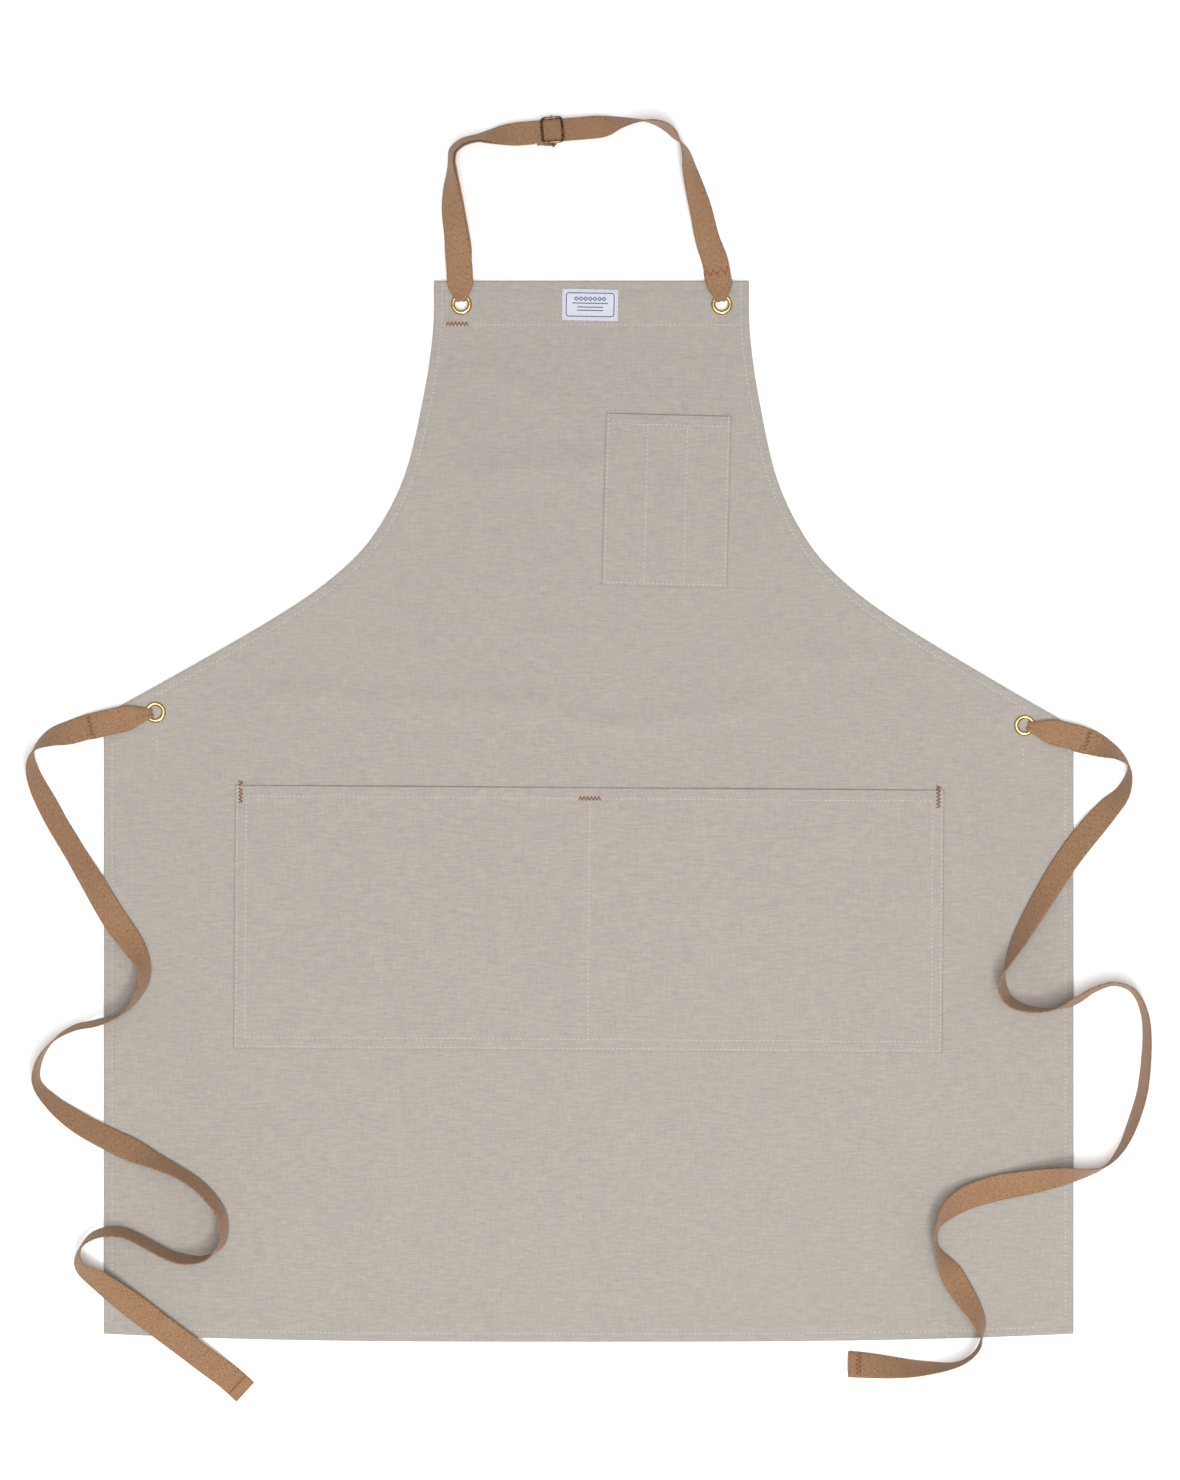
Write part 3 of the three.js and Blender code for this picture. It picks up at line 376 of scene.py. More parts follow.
def floor_material():
    """Matt white studio paper."""
    material, tree = new_material("matt white studio paper")
    place = add(tree, "ShaderNodeTexCoord").outputs["Object"]
    grain = stretched_noise(tree, place, (90, 90, 90), 2.0)
    tone = add(tree, "ShaderNodeMapRange", {"Value": grain, "To Min": 0.93, "To Max": 0.97})
    finish_material(tree, {"Base Color": tone.outputs[0], "Roughness": 0.95})
    return material


MATERIALS = {}


def make_materials():
    MATERIALS["canvas"] = canvas_material()
    MATERIALS["webbing"] = webbing_material()
    MATERIALS["seam_thread"] = thread_material("off-white spun thread", colours().seam_thread)
    MATERIALS["tack_thread"] = thread_material("rust spun thread", colours().tack_thread)
    MATERIALS["figure_thread"] = thread_material("slate blue label yarn", colours().label_figure)
    MATERIALS["label"] = label_material()
    pale_brass = srgb("#e3d2a4")
    MATERIALS["brass"] = metal_material("brass, polished", colours().brass, pale_brass, 0.5, 0.16)
    rubbed = srgb("#a98360")
    MATERIALS["bronze"] = metal_material("bronze, antique plated", colours().bronze, rubbed, 0.75, 0.3)


# ---------------------------------------------------------------- straps

# Strap routes, from the eyelet outwards: x, y, height of the strap's lower edge, roll in degrees.
# A positive roll lifts the strap's right-hand edge, and past 90 degrees its back shows.
LEFT_TIE_ROUTE = [
    (-0.3179, 0.0728, 0.0045, 0), (-0.336, 0.069, 0.0045, 0), (-0.355, 0.0647, 0.0042, -6),
    (-0.367, 0.062, 0.0019, -15), (-0.38, 0.058, 0.00025, -25), (-0.394, 0.054, 0.00025, -52),
    (-0.406, 0.045, 0.00025, -90), (-0.407, 0.031, 0.00025, -120), (-0.393, -0.001, 0.00025, -144),
    (-0.377, -0.028, 0.0016, -144), (-0.366, -0.046, 0.00375, -152), (-0.346, -0.08, 0.00375, -165),
    (-0.333, -0.098, 0.00375, -150), (-0.325, -0.113, 0.00375, -124), (-0.326, -0.127, 0.00375, -112),
    (-0.34, -0.147, 0.00375, -93), (-0.359, -0.154, 0.00375, -76), (-0.376, -0.158, 0.00025, -79),
    (-0.39, -0.166, 0.00025, -88), (-0.401, -0.18, 0.00025, -100), (-0.404, -0.197, 0.00025, -110),
    (-0.393, -0.212, 0.00025, -127), (-0.37, -0.229, 0.0032, -148), (-0.337, -0.246, 0.00375, -155),
    (-0.317, -0.255, 0.00375, -130), (-0.297, -0.265, 0.00375, -118), (-0.281, -0.277, 0.00375, -118),
    (-0.268, -0.295, 0.00375, -114), (-0.268, -0.315, 0.00375, -104), (-0.28, -0.326, 0.00375, -80),
    (-0.3, -0.326, 0.00375, -65), (-0.342, -0.307, 0.00375, -66), (-0.361, -0.309, 0.00375, -74),
    (-0.371, -0.318, 0.003, -88), (-0.372, -0.332, 0.003, -68), (-0.357, -0.344, 0.00375, -40),
    (-0.322, -0.371, 0.00375, -12), (-0.286, -0.398, 0.00375, -8), (-0.262, -0.417, 0.00025, 0),
    (-0.252, -0.426, 0.00025, 0),
]
RIGHT_TIE_ROUTE = [
    (0.3197, 0.0632, 0.0045, 0), (0.334, 0.0595, 0.0045, 0), (0.356, 0.0545, 0.0043, 5),
    (0.367, 0.051, 0.0019, 15), (0.377, 0.047, 0.00025, 40), (0.387, 0.042, 0.00025, 68),
    (0.395, 0.033, 0.00025, 92), (0.391, 0.015, 0.00025, 124), (0.38, 0.002, 0.0015, 148),
    (0.367, -0.013, 0.0036, 162), (0.348, -0.038, 0.00375, 155), (0.316, -0.091, 0.00375, 128),
    (0.306, -0.111, 0.00375, 102), (0.302, -0.124, 0.00375, 76), (0.306, -0.137, 0.00375, 68),
    (0.322, -0.144, 0.00375, 76), (0.34, -0.144, 0.00375, 88), (0.356, -0.138, 0.00375, 104),
    (0.37, -0.13, 0.0012, 100), (0.385, -0.126, 0.00025, 97), (0.398, -0.131, 0.00025, 100),
    (0.407, -0.15, 0.00025, 106), (0.406, -0.198, 0.00025, 113), (0.4, -0.222, 0.00025, 114),
    (0.389, -0.247, 0.00025, 104), (0.377, -0.26, 0.00025, 90), (0.364, -0.264, 0.0032, 74),
    (0.352, -0.266, 0.00375, 56), (0.319, -0.272, 0.00375, 23), (0.298, -0.276, 0.00375, 12),
    (0.276, -0.283, 0.00375, 28), (0.262, -0.293, 0.00375, 55), (0.254, -0.306, 0.00375, 84),
    (0.254, -0.318, 0.00375, 80), (0.268, -0.343, 0.00375, 26), (0.286, -0.374, 0.00375, 62),
    (0.286, -0.389, 0.00375, 96), (0.275, -0.402, 0.0005, 98), (0.247, -0.407, 0.00025, 122),
    (0.19, -0.405, 0.00025, 180),
]
NECK_ROUTE = [
    (-0.095, 0.401, 0.0045, 0), (-0.097, 0.42, 0.0022, 25), (-0.1, 0.441, 0.0022, 38),
    (-0.101, 0.456, 0.002, 56), (-0.101, 0.467, 0.0016, 72), (-0.101, 0.476, 0.001, 81),
    (-0.0995, 0.484, 0.001, 78), (-0.093, 0.49, 0.001, 79), (-0.083, 0.493, 0.0015, 80),
    (-0.073, 0.4941, 0.003, 66), (-0.062, 0.49506, 0.005, 44), (-0.05, 0.49607, 0.0052, 30),
    (-0.027, 0.498, 0.0052, 30), (0.004, 0.5006, 0.0052, 30), (0.012, 0.50128, 0.0046, 38),
    (0.021, 0.5034, 0.003, 60), (0.031, 0.505, 0.001, 78), (0.04, 0.5054, 0.00025, 90),
    (0.049, 0.504, 0.00025, 101), (0.057, 0.5005, 0.00025, 108), (0.0625, 0.4955, 0.00025, 106),
    (0.067, 0.49, 0.00025, 90), (0.071, 0.483, 0.00025, 75), (0.074, 0.47, 0.00025, 57),
    (0.077, 0.459, 0.0005, 46), (0.082, 0.441, 0.0012, 32), (0.087, 0.419, 0.0022, 22),
    (0.093, 0.401, 0.0045, 0),
]
SLIDER_POINT = NECK_ROUTE[12][:2]

UP = np.array((0.0, 0.0, 1.0))
TIE_GATHER = 24 * MM
NECK_GATHER = 15 * MM
PLEAT_HEIGHT = 1.5 * MM
TURN_START = 5 * MM
SEWN_END = 25.5 * MM
LAYER_GAP = 0.4 * MM
HINGE_RUN = 29 * MM
CLOSING_RUN = 16 * MM
TIP_FOLD = 9.5 * MM
TIP_SHARE = 1.6
RETURN_SHIFT = 1.1 * MM
SHIFT_ENDS = 52 * MM
SHIFT_EASE = 16 * MM
TIE_STATIONS = 330
NECK_STATIONS = 210

Station = namedtuple("Station", "point across normal width thickness pleat")

# A strap's section, from one selvedge to the other: place across and share of the thickness.
SECTION = [
    (-1, 0.35), (-0.94, 0.85), (-0.82, 1), (-0.6, 1), (-0.4, 1), (-0.2, 1), (0, 1),
    (0.2, 1), (0.4, 1), (0.6, 1), (0.82, 1), (0.94, 0.85), (1, 0.35),
]


def spline_line(points, per_piece=40):
    """A smooth line through points: a centripetal Catmull-Rom curve, with per_piece steps each."""
    points = np.array(points, float)
    line = np.vstack([2 * points[0] - points[1], points, 2 * points[-1] - points[-2]])
    share = np.linspace(0, 1, per_piece, endpoint=False)[:, None]
    pieces = []
    for p0, p1, p2, p3 in zip(line, line[1:], line[2:], line[3:]):
        d0, d1, d2 = (np.linalg.norm(b - a) ** 0.5 for a, b in ((p0, p1), (p1, p2), (p2, p3)))
        t1 = ((p1 - p0) / d0 - (p2 - p0) / (d0 + d1) + (p2 - p1) / d1) * d1
        t2 = ((p2 - p1) / d1 - (p3 - p1) / (d1 + d2) + (p3 - p2) / d2) * d1
        a = 2 * p1 - 2 * p2 + t1 + t2
        b = -3 * p1 + 3 * p2 - 2 * t1 - t2
        pieces.append(((a * share + b) * share + t1) * share + p1)
    return np.vstack([*pieces, points[-1:]])


def run_lengths(line):
    """The length of a line up to each of its points."""
    return np.concatenate([[0], np.cumsum(np.linalg.norm(np.diff(line, axis=0), axis=1))])


def monotone(at, places, values):
    """Values eased between places without overshoot."""
    gaps = np.diff(places)
    slopes = np.diff(values) / gaps
    product = slopes[:-1] * slopes[1:]
    total = np.where(product > 0, slopes[:-1] + slopes[1:], 1)
    inner = np.where(product > 0, 2 * product / total, 0)
    steep = np.concatenate([[slopes[0]], inner, [slopes[-1]]])
    i = np.clip(np.searchsorted(places, at, side="right") - 1, 0, len(gaps) - 1)
    t = (at - places[i]) / gaps[i]
    rise = values[i] * (1 + 2 * t) * (1 - t) ** 2 + values[i + 1] * t * t * (3 - 2 * t)
    return rise + gaps[i] * (steep[i] * t * (1 - t) ** 2 + steep[i + 1] * t * t * (t - 1))


def seen_from_above(roll, place, level):
    """The roll at which a strap shows the width of its listed roll to the camera over the middle."""
    sideways = (place - np.array(VIEW_CENTRE)) / VIEW_HEIGHT
    lean = np.arctan(np.sum(sideways * level[:, :2], axis=1))
    turn = np.arccos(np.clip(np.cos(roll) * np.cos(lean), -1, 1))
    return np.where(np.abs(roll) > 0.2, lean + np.sign(roll) * turn, roll)


def strap_run(route, count):
    """A rolled strap along its route: its distances and its stations at full width."""
    route = np.array(route, float)
    flat = spline_line(route[:, :2])
    run = run_lengths(flat)
    knots = run[:: (len(run) - 1) // (len(route) - 1)]
    distance = np.linspace(0, run[-1], count)
    place = np.stack([np.interp(distance, run, flat[:, k]) for k in (0, 1)], axis=1)
    tangent = unit(np.gradient(place, axis=0))
    lift = monotone(distance, knots, route[:, 2])
    roll = np.radians(monotone(distance, knots, route[:, 3]))
    level = np.stack([tangent[:, 1], -tangent[:, 0], 0 * roll], axis=1)
    roll = seen_from_above(roll, place, level)
    across = level * np.cos(roll)[:, None] + UP * np.sin(roll)[:, None]
    normal = UP * np.cos(roll)[:, None] - level * np.sin(roll)[:, None]
    width, thickness = sizes().webbing_width, sizes().webbing_thickness
    height = lift + (width * np.abs(np.sin(roll)) + thickness * np.abs(np.cos(roll))) / 2
    points = np.column_stack([place, height])
    stations = [Station(p, a, n, width, thickness, 0) for p, a, n in zip(points, across, normal)]
    return distance, stations


def gathered(station, from_eyelet, gather):
    """A station as it is near an eyelet, where the strap narrows into two pleats."""
    open_share = smooth(from_eyelet / gather)
    width = blend_of(sizes().gathered_width, station.width, open_share)
    return station._replace(width=width, pleat=PLEAT_HEIGHT * (1 - open_share))


def along_profile(origin, direction, profile):
    """Stations of a strap that stays in one upright plane: the profile lists distance and height."""
    across = np.cross(direction, UP)
    line = np.array(profile)
    tangent = unit(np.gradient(line, axis=0))
    stations = []
    for (out, height), (run, rise) in zip(line, tangent):
        point = origin + direction * out + UP * height
        normal = np.cross(across, direction * run + UP * rise)
        stations.append(Station(point, across, normal, sizes().webbing_width, sizes().webbing_thickness, 0))
    return stations


def eyelet_turn(node, direction, back_length, gather):
    """The strap's way from behind the cloth, up through the bore, to the layer in front."""
    half = sizes().webbing_thickness / 2
    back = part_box("neck_strap_loop_left")[0].z + half
    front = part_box("neck_strap_loop_left")[1].z - half
    middle, radius = (front + back) / 2, (front - back) / 2
    profile = [(out, back) for out in np.linspace(back_length, TURN_START, 16)]
    for angle in np.linspace(0, math.pi, 15)[1:]:
        out = TURN_START - radius * math.sin(angle)
        profile.append((out, middle - radius * math.cos(angle)))
    centre = centre_of(node)
    origin = np.array((centre.x, centre.y, 0))
    stations = []
    for (out, height), station in zip(profile, along_profile(origin, direction, profile)):
        drawn = gathered(station, out, gather)
        raised = smooth((height - back) / (front - back))
        stations.append(drawn._replace(pleat=drawn.pleat * raised))
    return stations


def flipped(stations):
    """The same strap, run through from its other end."""
    return [s._replace(across=-s.across) for s in reversed(stations)]


def strap_mesh(name, stations):
    """A strap through its stations, with rounded selvedges and a UV map in metres."""
    places = np.array([u for u, _ in SECTION])
    shares = np.array([share for _, share in SECTION])
    around = np.concatenate([places, places[::-1]])
    side = np.concatenate([shares, -shares[::-1]])
    centres = np.array([s.point for s in stations])
    run = run_lengths(centres)
    points = []
    for s in stations:
        lift = s.pleat * (1 - np.cos(2 * math.pi * around)) / 2 + side * s.thickness / 2
        points.append(s.point + np.outer(around * s.width / 2, s.across) + np.outer(lift, s.normal))
    count = len(around)
    faces = []
    for i in range(len(stations) - 1):
        for j in range(count):
            here, k = i * count, (j + 1) % count
            faces.append((here + j, here + count + j, here + count + k, here + k))
    last = (len(stations) - 1) * count
    faces.append(tuple(range(count)))
    faces.append(tuple(reversed(range(last, last + count))))
    piece = new_piece(name, np.vstack(points), faces, MATERIALS["webbing"])
    flat = np.column_stack([
        np.tile(around * sizes().webbing_width / 2, len(stations)), np.repeat(run, count),
    ])
    corners = np.zeros(len(piece.data.loops), int)
    piece.data.loops.foreach_get("vertex_index", corners)
    layer = piece.data.uv_layers.new(name="strap")
    layer.data.foreach_set("uv", flat[corners].ravel())
    return piece


def nearest(stations, place):
    """The place in the list of the station nearest to x, y."""
    gaps = [math.hypot(s.point[0] - place[0], s.point[1] - place[1]) for s in stations]
    return int(np.argmin(gaps))


def tie_stations(side):
    """The stations of a waist tie, from its fold behind the cloth to its tip, and its free path."""
    route = LEFT_TIE_ROUTE if side == "left" else RIGHT_TIE_ROUTE
    node = f"eyelet_waist_{side}"
    centre = centre_of(node)
    reach = np.array((route[3][0] - centre.x, route[3][1] - centre.y, 0))
    distance, run = strap_run(route, TIE_STATIONS)
    total = distance[-1]
    front = []
    for out, station in zip(distance, run):
        if out <= TURN_START + MM:
            continue
        drawn = gathered(station, out, TIE_GATHER)
        if total - out < TIP_FOLD:
            thickness = drawn.thickness * TIP_SHARE
            raised = drawn.point + UP * (thickness - drawn.thickness) / 2
            drawn = drawn._replace(point=raised, thickness=thickness)
        front.append(drawn)
    turn = eyelet_turn(node, unit(reach), np.linalg.norm(reach), TIE_GATHER)
    path = [run[0].point, *(s.point for s in front)]
    return turn + front, path, (distance, run)


def neck_stations():
    """The neck strap's front layer from left to right, with the distance of each station."""
    ends = [centre_of(f"eyelet_neck_{side}") for side in ("left", "right")]
    on_eyelet = NECK_ROUTE[0][2]
    first, last = ((end.x, end.y, on_eyelet, 0) for end in ends)
    return strap_run([first, *NECK_ROUTE, last], NECK_STATIONS)


def return_layer(distance, stations, slider_run):
    """The layer behind the front one, from the left eyelet's loop to just before the slider."""
    thickness = sizes().webbing_thickness
    half = thickness / 2
    low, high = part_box("neck_strap_loop_left")
    hang = high.z - low.z - 2 * half
    snug = thickness + LAYER_GAP
    layer = []
    for out, s in zip(distance, stations):
        from_hinge = (out - HINGE_RUN) / CLOSING_RUN
        away = blend_of(hang, snug, smooth(from_hinge))
        fade = 1 - smooth((out - slider_run + SHIFT_ENDS) / SHIFT_EASE)
        shift = RETURN_SHIFT * smooth(from_hinge) * fade
        point = s.point - s.normal * away + s.across * shift
        layer.append(s._replace(point=point, width=s.width - 2 * LAYER_GAP))
    return layer


END_LOOP = 12 * MM
RETURN_BLEND = 58 * MM
RETURN_REACH = 12 * MM


class APRON_OT_neck_strap(bpy.types.Operator):
    """Builds the neck strap: two eyelet loops, the front layer and the layer that returns behind it"""

    bl_idname = "apron.neck_strap"
    bl_label = "Neck strap"

    def execute(self, context):
        distance, run = neck_stations()
        total = distance[-1]
        slider_run = distance[nearest(run, SLIDER_POINT)]
        back = return_layer(distance, run, slider_run)
        joint = slider_run - RETURN_BLEND
        end = slider_run - RETURN_REACH
        joint_place = int(np.searchsorted(distance, joint))
        end_place = int(np.searchsorted(distance, end))
        behind = [s for out, s in zip(distance, back[: joint_place + 1]) if out > HINGE_RUN]
        behind_end = back[joint_place:end_place]
        front = []
        for out, s in zip(distance, run):
            from_eyelet = min(out, total - out)
            if from_eyelet > TURN_START + MM:
                front.append(gathered(s, from_eyelet, NECK_GATHER))
        directions = []
        for side, place in (("left", NECK_ROUTE[0]), ("right", NECK_ROUTE[-1])):
            centre = centre_of(f"eyelet_neck_{side}")
            directions.append(unit(np.array((place[0] - centre.x, place[1] - centre.y, 0))))
        left = eyelet_turn("eyelet_neck_left", directions[0], HINGE_RUN, NECK_GATHER)
        right = eyelet_turn("eyelet_neck_right", directions[1], SEWN_END, NECK_GATHER)
        hidden = [s._replace(normal=-s.normal) for s in reversed(behind)]
        strap = strap_mesh("neck_strap_webbing", hidden + left + front + flipped(right))
        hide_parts("neck_strap", "neck_strap_loop_left", "neck_strap_loop_right")
        start, end = ((0, y, 0) for y in BIB_BEND)
        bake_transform(strap)
        underside = strap_mesh("neck_strap_return_end", behind_end)
        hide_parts("neck_strap_return")
        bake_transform(underside)
        return {"FINISHED"}


class APRON_OT_waist_ties(bpy.types.Operator):
    """Builds the two waist ties, each one strap from the fold behind the cloth to the tip"""

    bl_idname = "apron.waist_ties"
    bl_label = "Waist ties"

    def execute(self, context):
        for side, length in TIE_LENGTHS.items():
            stations, path, _ = tie_stations(side)
            tie = strap_mesh(f"{side}_tie_webbing", stations)
            settle(tie, f"{side}_tie", "webbing", f"{side}_tie")
        return {"FINISHED"}


# ---------------------------------------------------------------- slider

WIRE = 0.95 * MM
STRAP_GAP = 0.3 * MM
SLIDER_HALF_RUN = 7.5 * MM
SLIDER_CORNER = 3 * MM
WIRE_SHIFT = 0.4 * MM
RING_INSET = 0.9 * MM
WIRE_SIDES = 18


def tube(path, fixed, radius, closed):
    """Points and faces of a round wire along a path that stays square to a fixed direction."""
    path = np.array(path)
    ahead, behind = np.roll(path, -1, axis=0), np.roll(path, 1, axis=0)
    if not closed:
        ahead[-1], behind[0] = path[-1], path[0]
    tangent = unit(ahead - behind)
    outward = np.cross(tangent, fixed)
    angles = np.linspace(0, 2 * math.pi, WIRE_SIDES, endpoint=False)
    points = [
        p + radius * (math.cos(a) * fixed + math.sin(a) * o)
        for p, o in zip(path, outward) for a in angles
    ]
    links = len(path) if closed else len(path) - 1
    faces = []
    for i in range(links):
        here, there = i * WIRE_SIDES, ((i + 1) % len(path)) * WIRE_SIDES
        for j in range(WIRE_SIDES):
            k = (j + 1) % WIRE_SIDES
            faces.append((here + j, here + k, there + k, there + j))
    if not closed:
        last = (len(path) - 1) * WIRE_SIDES
        faces.append(tuple(reversed(range(WIRE_SIDES))))
        faces.append(tuple(range(last, last + WIRE_SIDES)))
    return points, faces


def rounded_path(corners, radius, closed, steps=7):
    """A path through corners, each rounded by a short curve."""
    corners = np.array(corners, float)
    count = len(corners)
    path = [] if closed else [corners[0]]
    for i in range(count) if closed else range(1, count - 1):
        here = corners[i]
        before = here + unit(corners[i - 1] - here) * radius
        after = here + unit(corners[(i + 1) % count] - here) * radius
        for t in np.linspace(0, 1, steps):
            path.append(before * (1 - t) ** 2 + here * 2 * t * (1 - t) + after * t * t)
    return np.array(path if closed else [*path, corners[-1]])


def joined(parts):
    """Points and faces of several closed shells as one list each."""
    points, faces = [], []
    for part_points, part_faces in parts:
        start = len(points)
        points.extend(part_points)
        faces.extend(tuple(start + v for v in face) for face in part_faces)
    return points, faces


def slider_frame():
    """The slider's centre on the strap, and its directions across, along and off the strap."""
    _, run = neck_stations()
    s = run[nearest(run, SLIDER_POINT)]
    return s.point, s.across, np.cross(s.normal, s.across), s.normal


class APRON_OT_slider(bpy.types.Operator):
    """Builds the bronze wire slider and the end of the strap wrapped round its middle bar"""

    bl_idname = "apron.slider"
    bl_label = "Slider"

    def execute(self, context):
        point, across, along, off = slider_frame()
        thickness = sizes().webbing_thickness
        rise = thickness / 2 + STRAP_GAP + WIRE
        drop = 1.5 * thickness + 2 * STRAP_GAP + WIRE
        reach = sizes().webbing_width / 2 + 2 * STRAP_GAP + WIRE

        def place(x, y, z):
            return point + across * (x + WIRE_SHIFT) + along * y + off * z

        ring_reach = reach - RING_INSET
        ring_corners = [
            place(x * ring_reach, y * SLIDER_HALF_RUN, rise)
            for x, y in ((1, 1), (-1, 1), (-1, -1), (1, -1))
        ]
        ring = tube(rounded_path(ring_corners, SLIDER_CORNER, True), off, WIRE, True)
        bar_corners = [
            place(-reach, 0, rise), place(-reach, 0, -drop), place(reach, 0, -drop), place(reach, 0, rise),
        ]
        bar = tube(rounded_path(bar_corners, 1.6 * WIRE, False), along, WIRE, False)
        wire = new_piece("slider_wire", *joined([ring, bar]), MATERIALS["bronze"])
        settle(wire, "slider", "bronze_wire", "slider")

        wrap = WIRE + STRAP_GAP + thickness / 2
        laid = -drop + wrap - thickness - STRAP_GAP
        bend = [
            (wrap * math.cos(a), -drop + wrap * math.sin(a))
            for a in np.linspace(math.pi / 2, -math.pi / 2, 7)
        ]
        profile = spline_line([
            (-END_LOOP, -drop + wrap), (-4 * MM, -drop + wrap), *bend,
            (-5 * MM, laid - 1.3 * MM), (-8.5 * MM, laid), (-END_LOOP, laid),
        ], 6)
        tangent = unit(np.gradient(profile, axis=0))
        width = sizes().webbing_width - 2 * STRAP_GAP
        stations = [
            Station(place(0, y, z), across, np.cross(across, along * ty + off * tz), width, thickness, 0)
            for (y, z), (ty, tz) in zip(profile, tangent)
        ]
        loop = strap_mesh("neck_strap_end_loop_webbing", stations)
        settle(loop, "slider", "webbing", "neck_strap_end_loop")
        return {"FINISHED"}


# ---------------------------------------------------------------- outline of the cloth

CLOTH_LOW, CLOTH_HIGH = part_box("cloth_body")
TOP, LEFT, RIGHT = CLOTH_HIGH.y, CLOTH_LOW.x, CLOTH_HIGH.x
CLOTH_LEVEL = CLOTH_HIGH.z
BOW_STARTS = -0.30

# Armhole edge as shares of the way out and of the way down, from bib corner to waist corner.
ARMHOLE_SHARES = [
    (0, 0), (0.003, 0.12), (0.032, 0.27), (0.089, 0.45),
    (0.182, 0.586), (0.295, 0.677), (0.461, 0.767), (0.768, 0.903), (1, 1),
]


def corner_y():
    return CLOTH_LOW.y + sizes().bottom_bow


def armhole(side):
    """The armhole's edge from the bib's corner to the waist, as an array of x, y."""
    out = -1 if side == "left" else 1
    drop = sizes().waist_drop_left if side == "left" else sizes().waist_drop_right
    corner = np.array((sizes().bib_shift + out * sizes().bib_width / 2, TOP))
    waist = np.array((LEFT if side == "left" else RIGHT, TOP - drop))
    points = [corner + (waist - corner) * np.array(share) for share in ARMHOLE_SHARES]
    line = [points[0], *points, points[-1]]
    share = np.linspace(0, 1, 24, endpoint=False)[:, None]
    pieces = []
    for p0, p1, p2, p3 in zip(line, line[1:], line[2:], line[3:]):
        v1, v2 = (p2 - p0) / 2, (p3 - p1) / 2
        cube, square = 2 * p1 - 2 * p2 + v1 + v2, -3 * p1 + 3 * p2 - 2 * v1 - v2
        pieces.append(((cube * share + square) * share + v1) * share + p1)
    return np.vstack([*pieces, points[-1:]])


def bow(x):
    """How far the bottom edge hangs below its corners."""
    across = np.abs(2 * x / (RIGHT - LEFT))
    return sizes().bottom_bow * (1 - np.minimum(across, 1) ** 3)


def side_line(side):
    """The whole side edge from the bottom corner up to the bib's corner."""
    x = LEFT if side == "left" else RIGHT
    return np.vstack([[(x, corner_y())], armhole(side)[::-1]])


def offset_line(line, distance):
    """A line moved sideways: a positive distance moves it to the left of its own direction."""
    line = np.asarray(line, float)
    steps = unit(np.diff(line, axis=0))
    into = np.vstack([steps[:1], steps])
    out = np.vstack([steps, steps[-1:]])
    mean = unit(into + out)
    normal = np.column_stack([-mean[:, 1], mean[:, 0]])
    spread = np.maximum(np.sum(mean * into, axis=1), 0.3)
    return line + normal * (distance / spread)[:, None]


def outline():
    """The cloth's edge all round, as closely spaced points."""
    x = np.linspace(LEFT, RIGHT, 240)
    y = np.linspace(TOP - sizes().waist_drop_left, corner_y(), 150)
    top = np.linspace(side_line("left")[-1][0], side_line("right")[-1][0], 80)
    return np.vstack([
        armhole("left"), armhole("right"),
        np.column_stack([x, corner_y() - bow(x)]),
        np.column_stack([np.full_like(y, LEFT), y]), np.column_stack([np.full_like(y, RIGHT), y]),
        np.column_stack([top, np.full_like(top, TOP)]),
    ])


def edge_distance(x, y):
    """How far points lie from the cloth's edge."""
    edge = outline()
    points = np.column_stack([np.ravel(x), np.ravel(y)])
    found = [
        np.sqrt(((part[:, None] - edge[None]) ** 2).sum(axis=2).min(axis=1))
        for part in np.array_split(points, max(1, len(points) // 2000))
    ]
    return np.concatenate(found).reshape(np.shape(x))


# Soft creases in the laid cloth: their lines in metres, width and height.
CREASES = [
    ([(-0.258, 0.089), (-0.17, 0.081), (-0.109, 0.078), (-0.036, 0.077), (0.008, 0.063),
      (0.06, 0.067), (0.1, 0.073), (0.136, 0.089)], 0.0085, 0.0021),
    ([(-0.11, 0.252), (-0.06, 0.249), (-0.01, 0.253), (0.03, 0.258)], 0.009, 0.0017),
    ([(-0.105, 0.341), (-0.075, 0.322), (-0.05, 0.308), (-0.02, 0.296)], 0.012, 0.0018),
    ([(-0.05, 0.133), (-0.03, 0.131), (-0.012, 0.133)], 0.006, 0.0016),
    ([(-0.147, -0.186), (-0.150, -0.25), (-0.146, -0.32)], 0.013, 0.0014),
    ([(0.017, -0.205), (0.014, -0.25), (0.018, -0.30)], 0.012, 0.0013),
    ([(-0.30, 0.02), (-0.285, -0.04), (-0.29, -0.09)], 0.012, 0.0009),
    ([(0.18, -0.215), (0.21, -0.26), (0.205, -0.33)], 0.013, 0.0012),
    ([(0.10, 0.12), (0.17, 0.11), (0.24, 0.125)], 0.011, 0.0012),
]
CREASE_ENDS = 0.03
HEM_SAG = 0.0007


def crease_height(x, y):
    """The sum of the soft creases at points of the cloth."""
    height = np.zeros_like(x)
    for line, width, depth in CREASES:
        path = spline_line(line, 10)
        run = run_lengths(path)
        gaps = (x[..., None] - path[:, 0]) ** 2 + (y[..., None] - path[:, 1]) ** 2
        near = gaps.argmin(axis=-1)
        from_end = np.minimum(run[near], run[-1] - run[near])
        fade = 0.25 + 0.75 * smooth(from_end / CREASE_ENDS)
        height = height + depth * fade * np.exp(-gaps.min(axis=-1) / width**2)
    return height


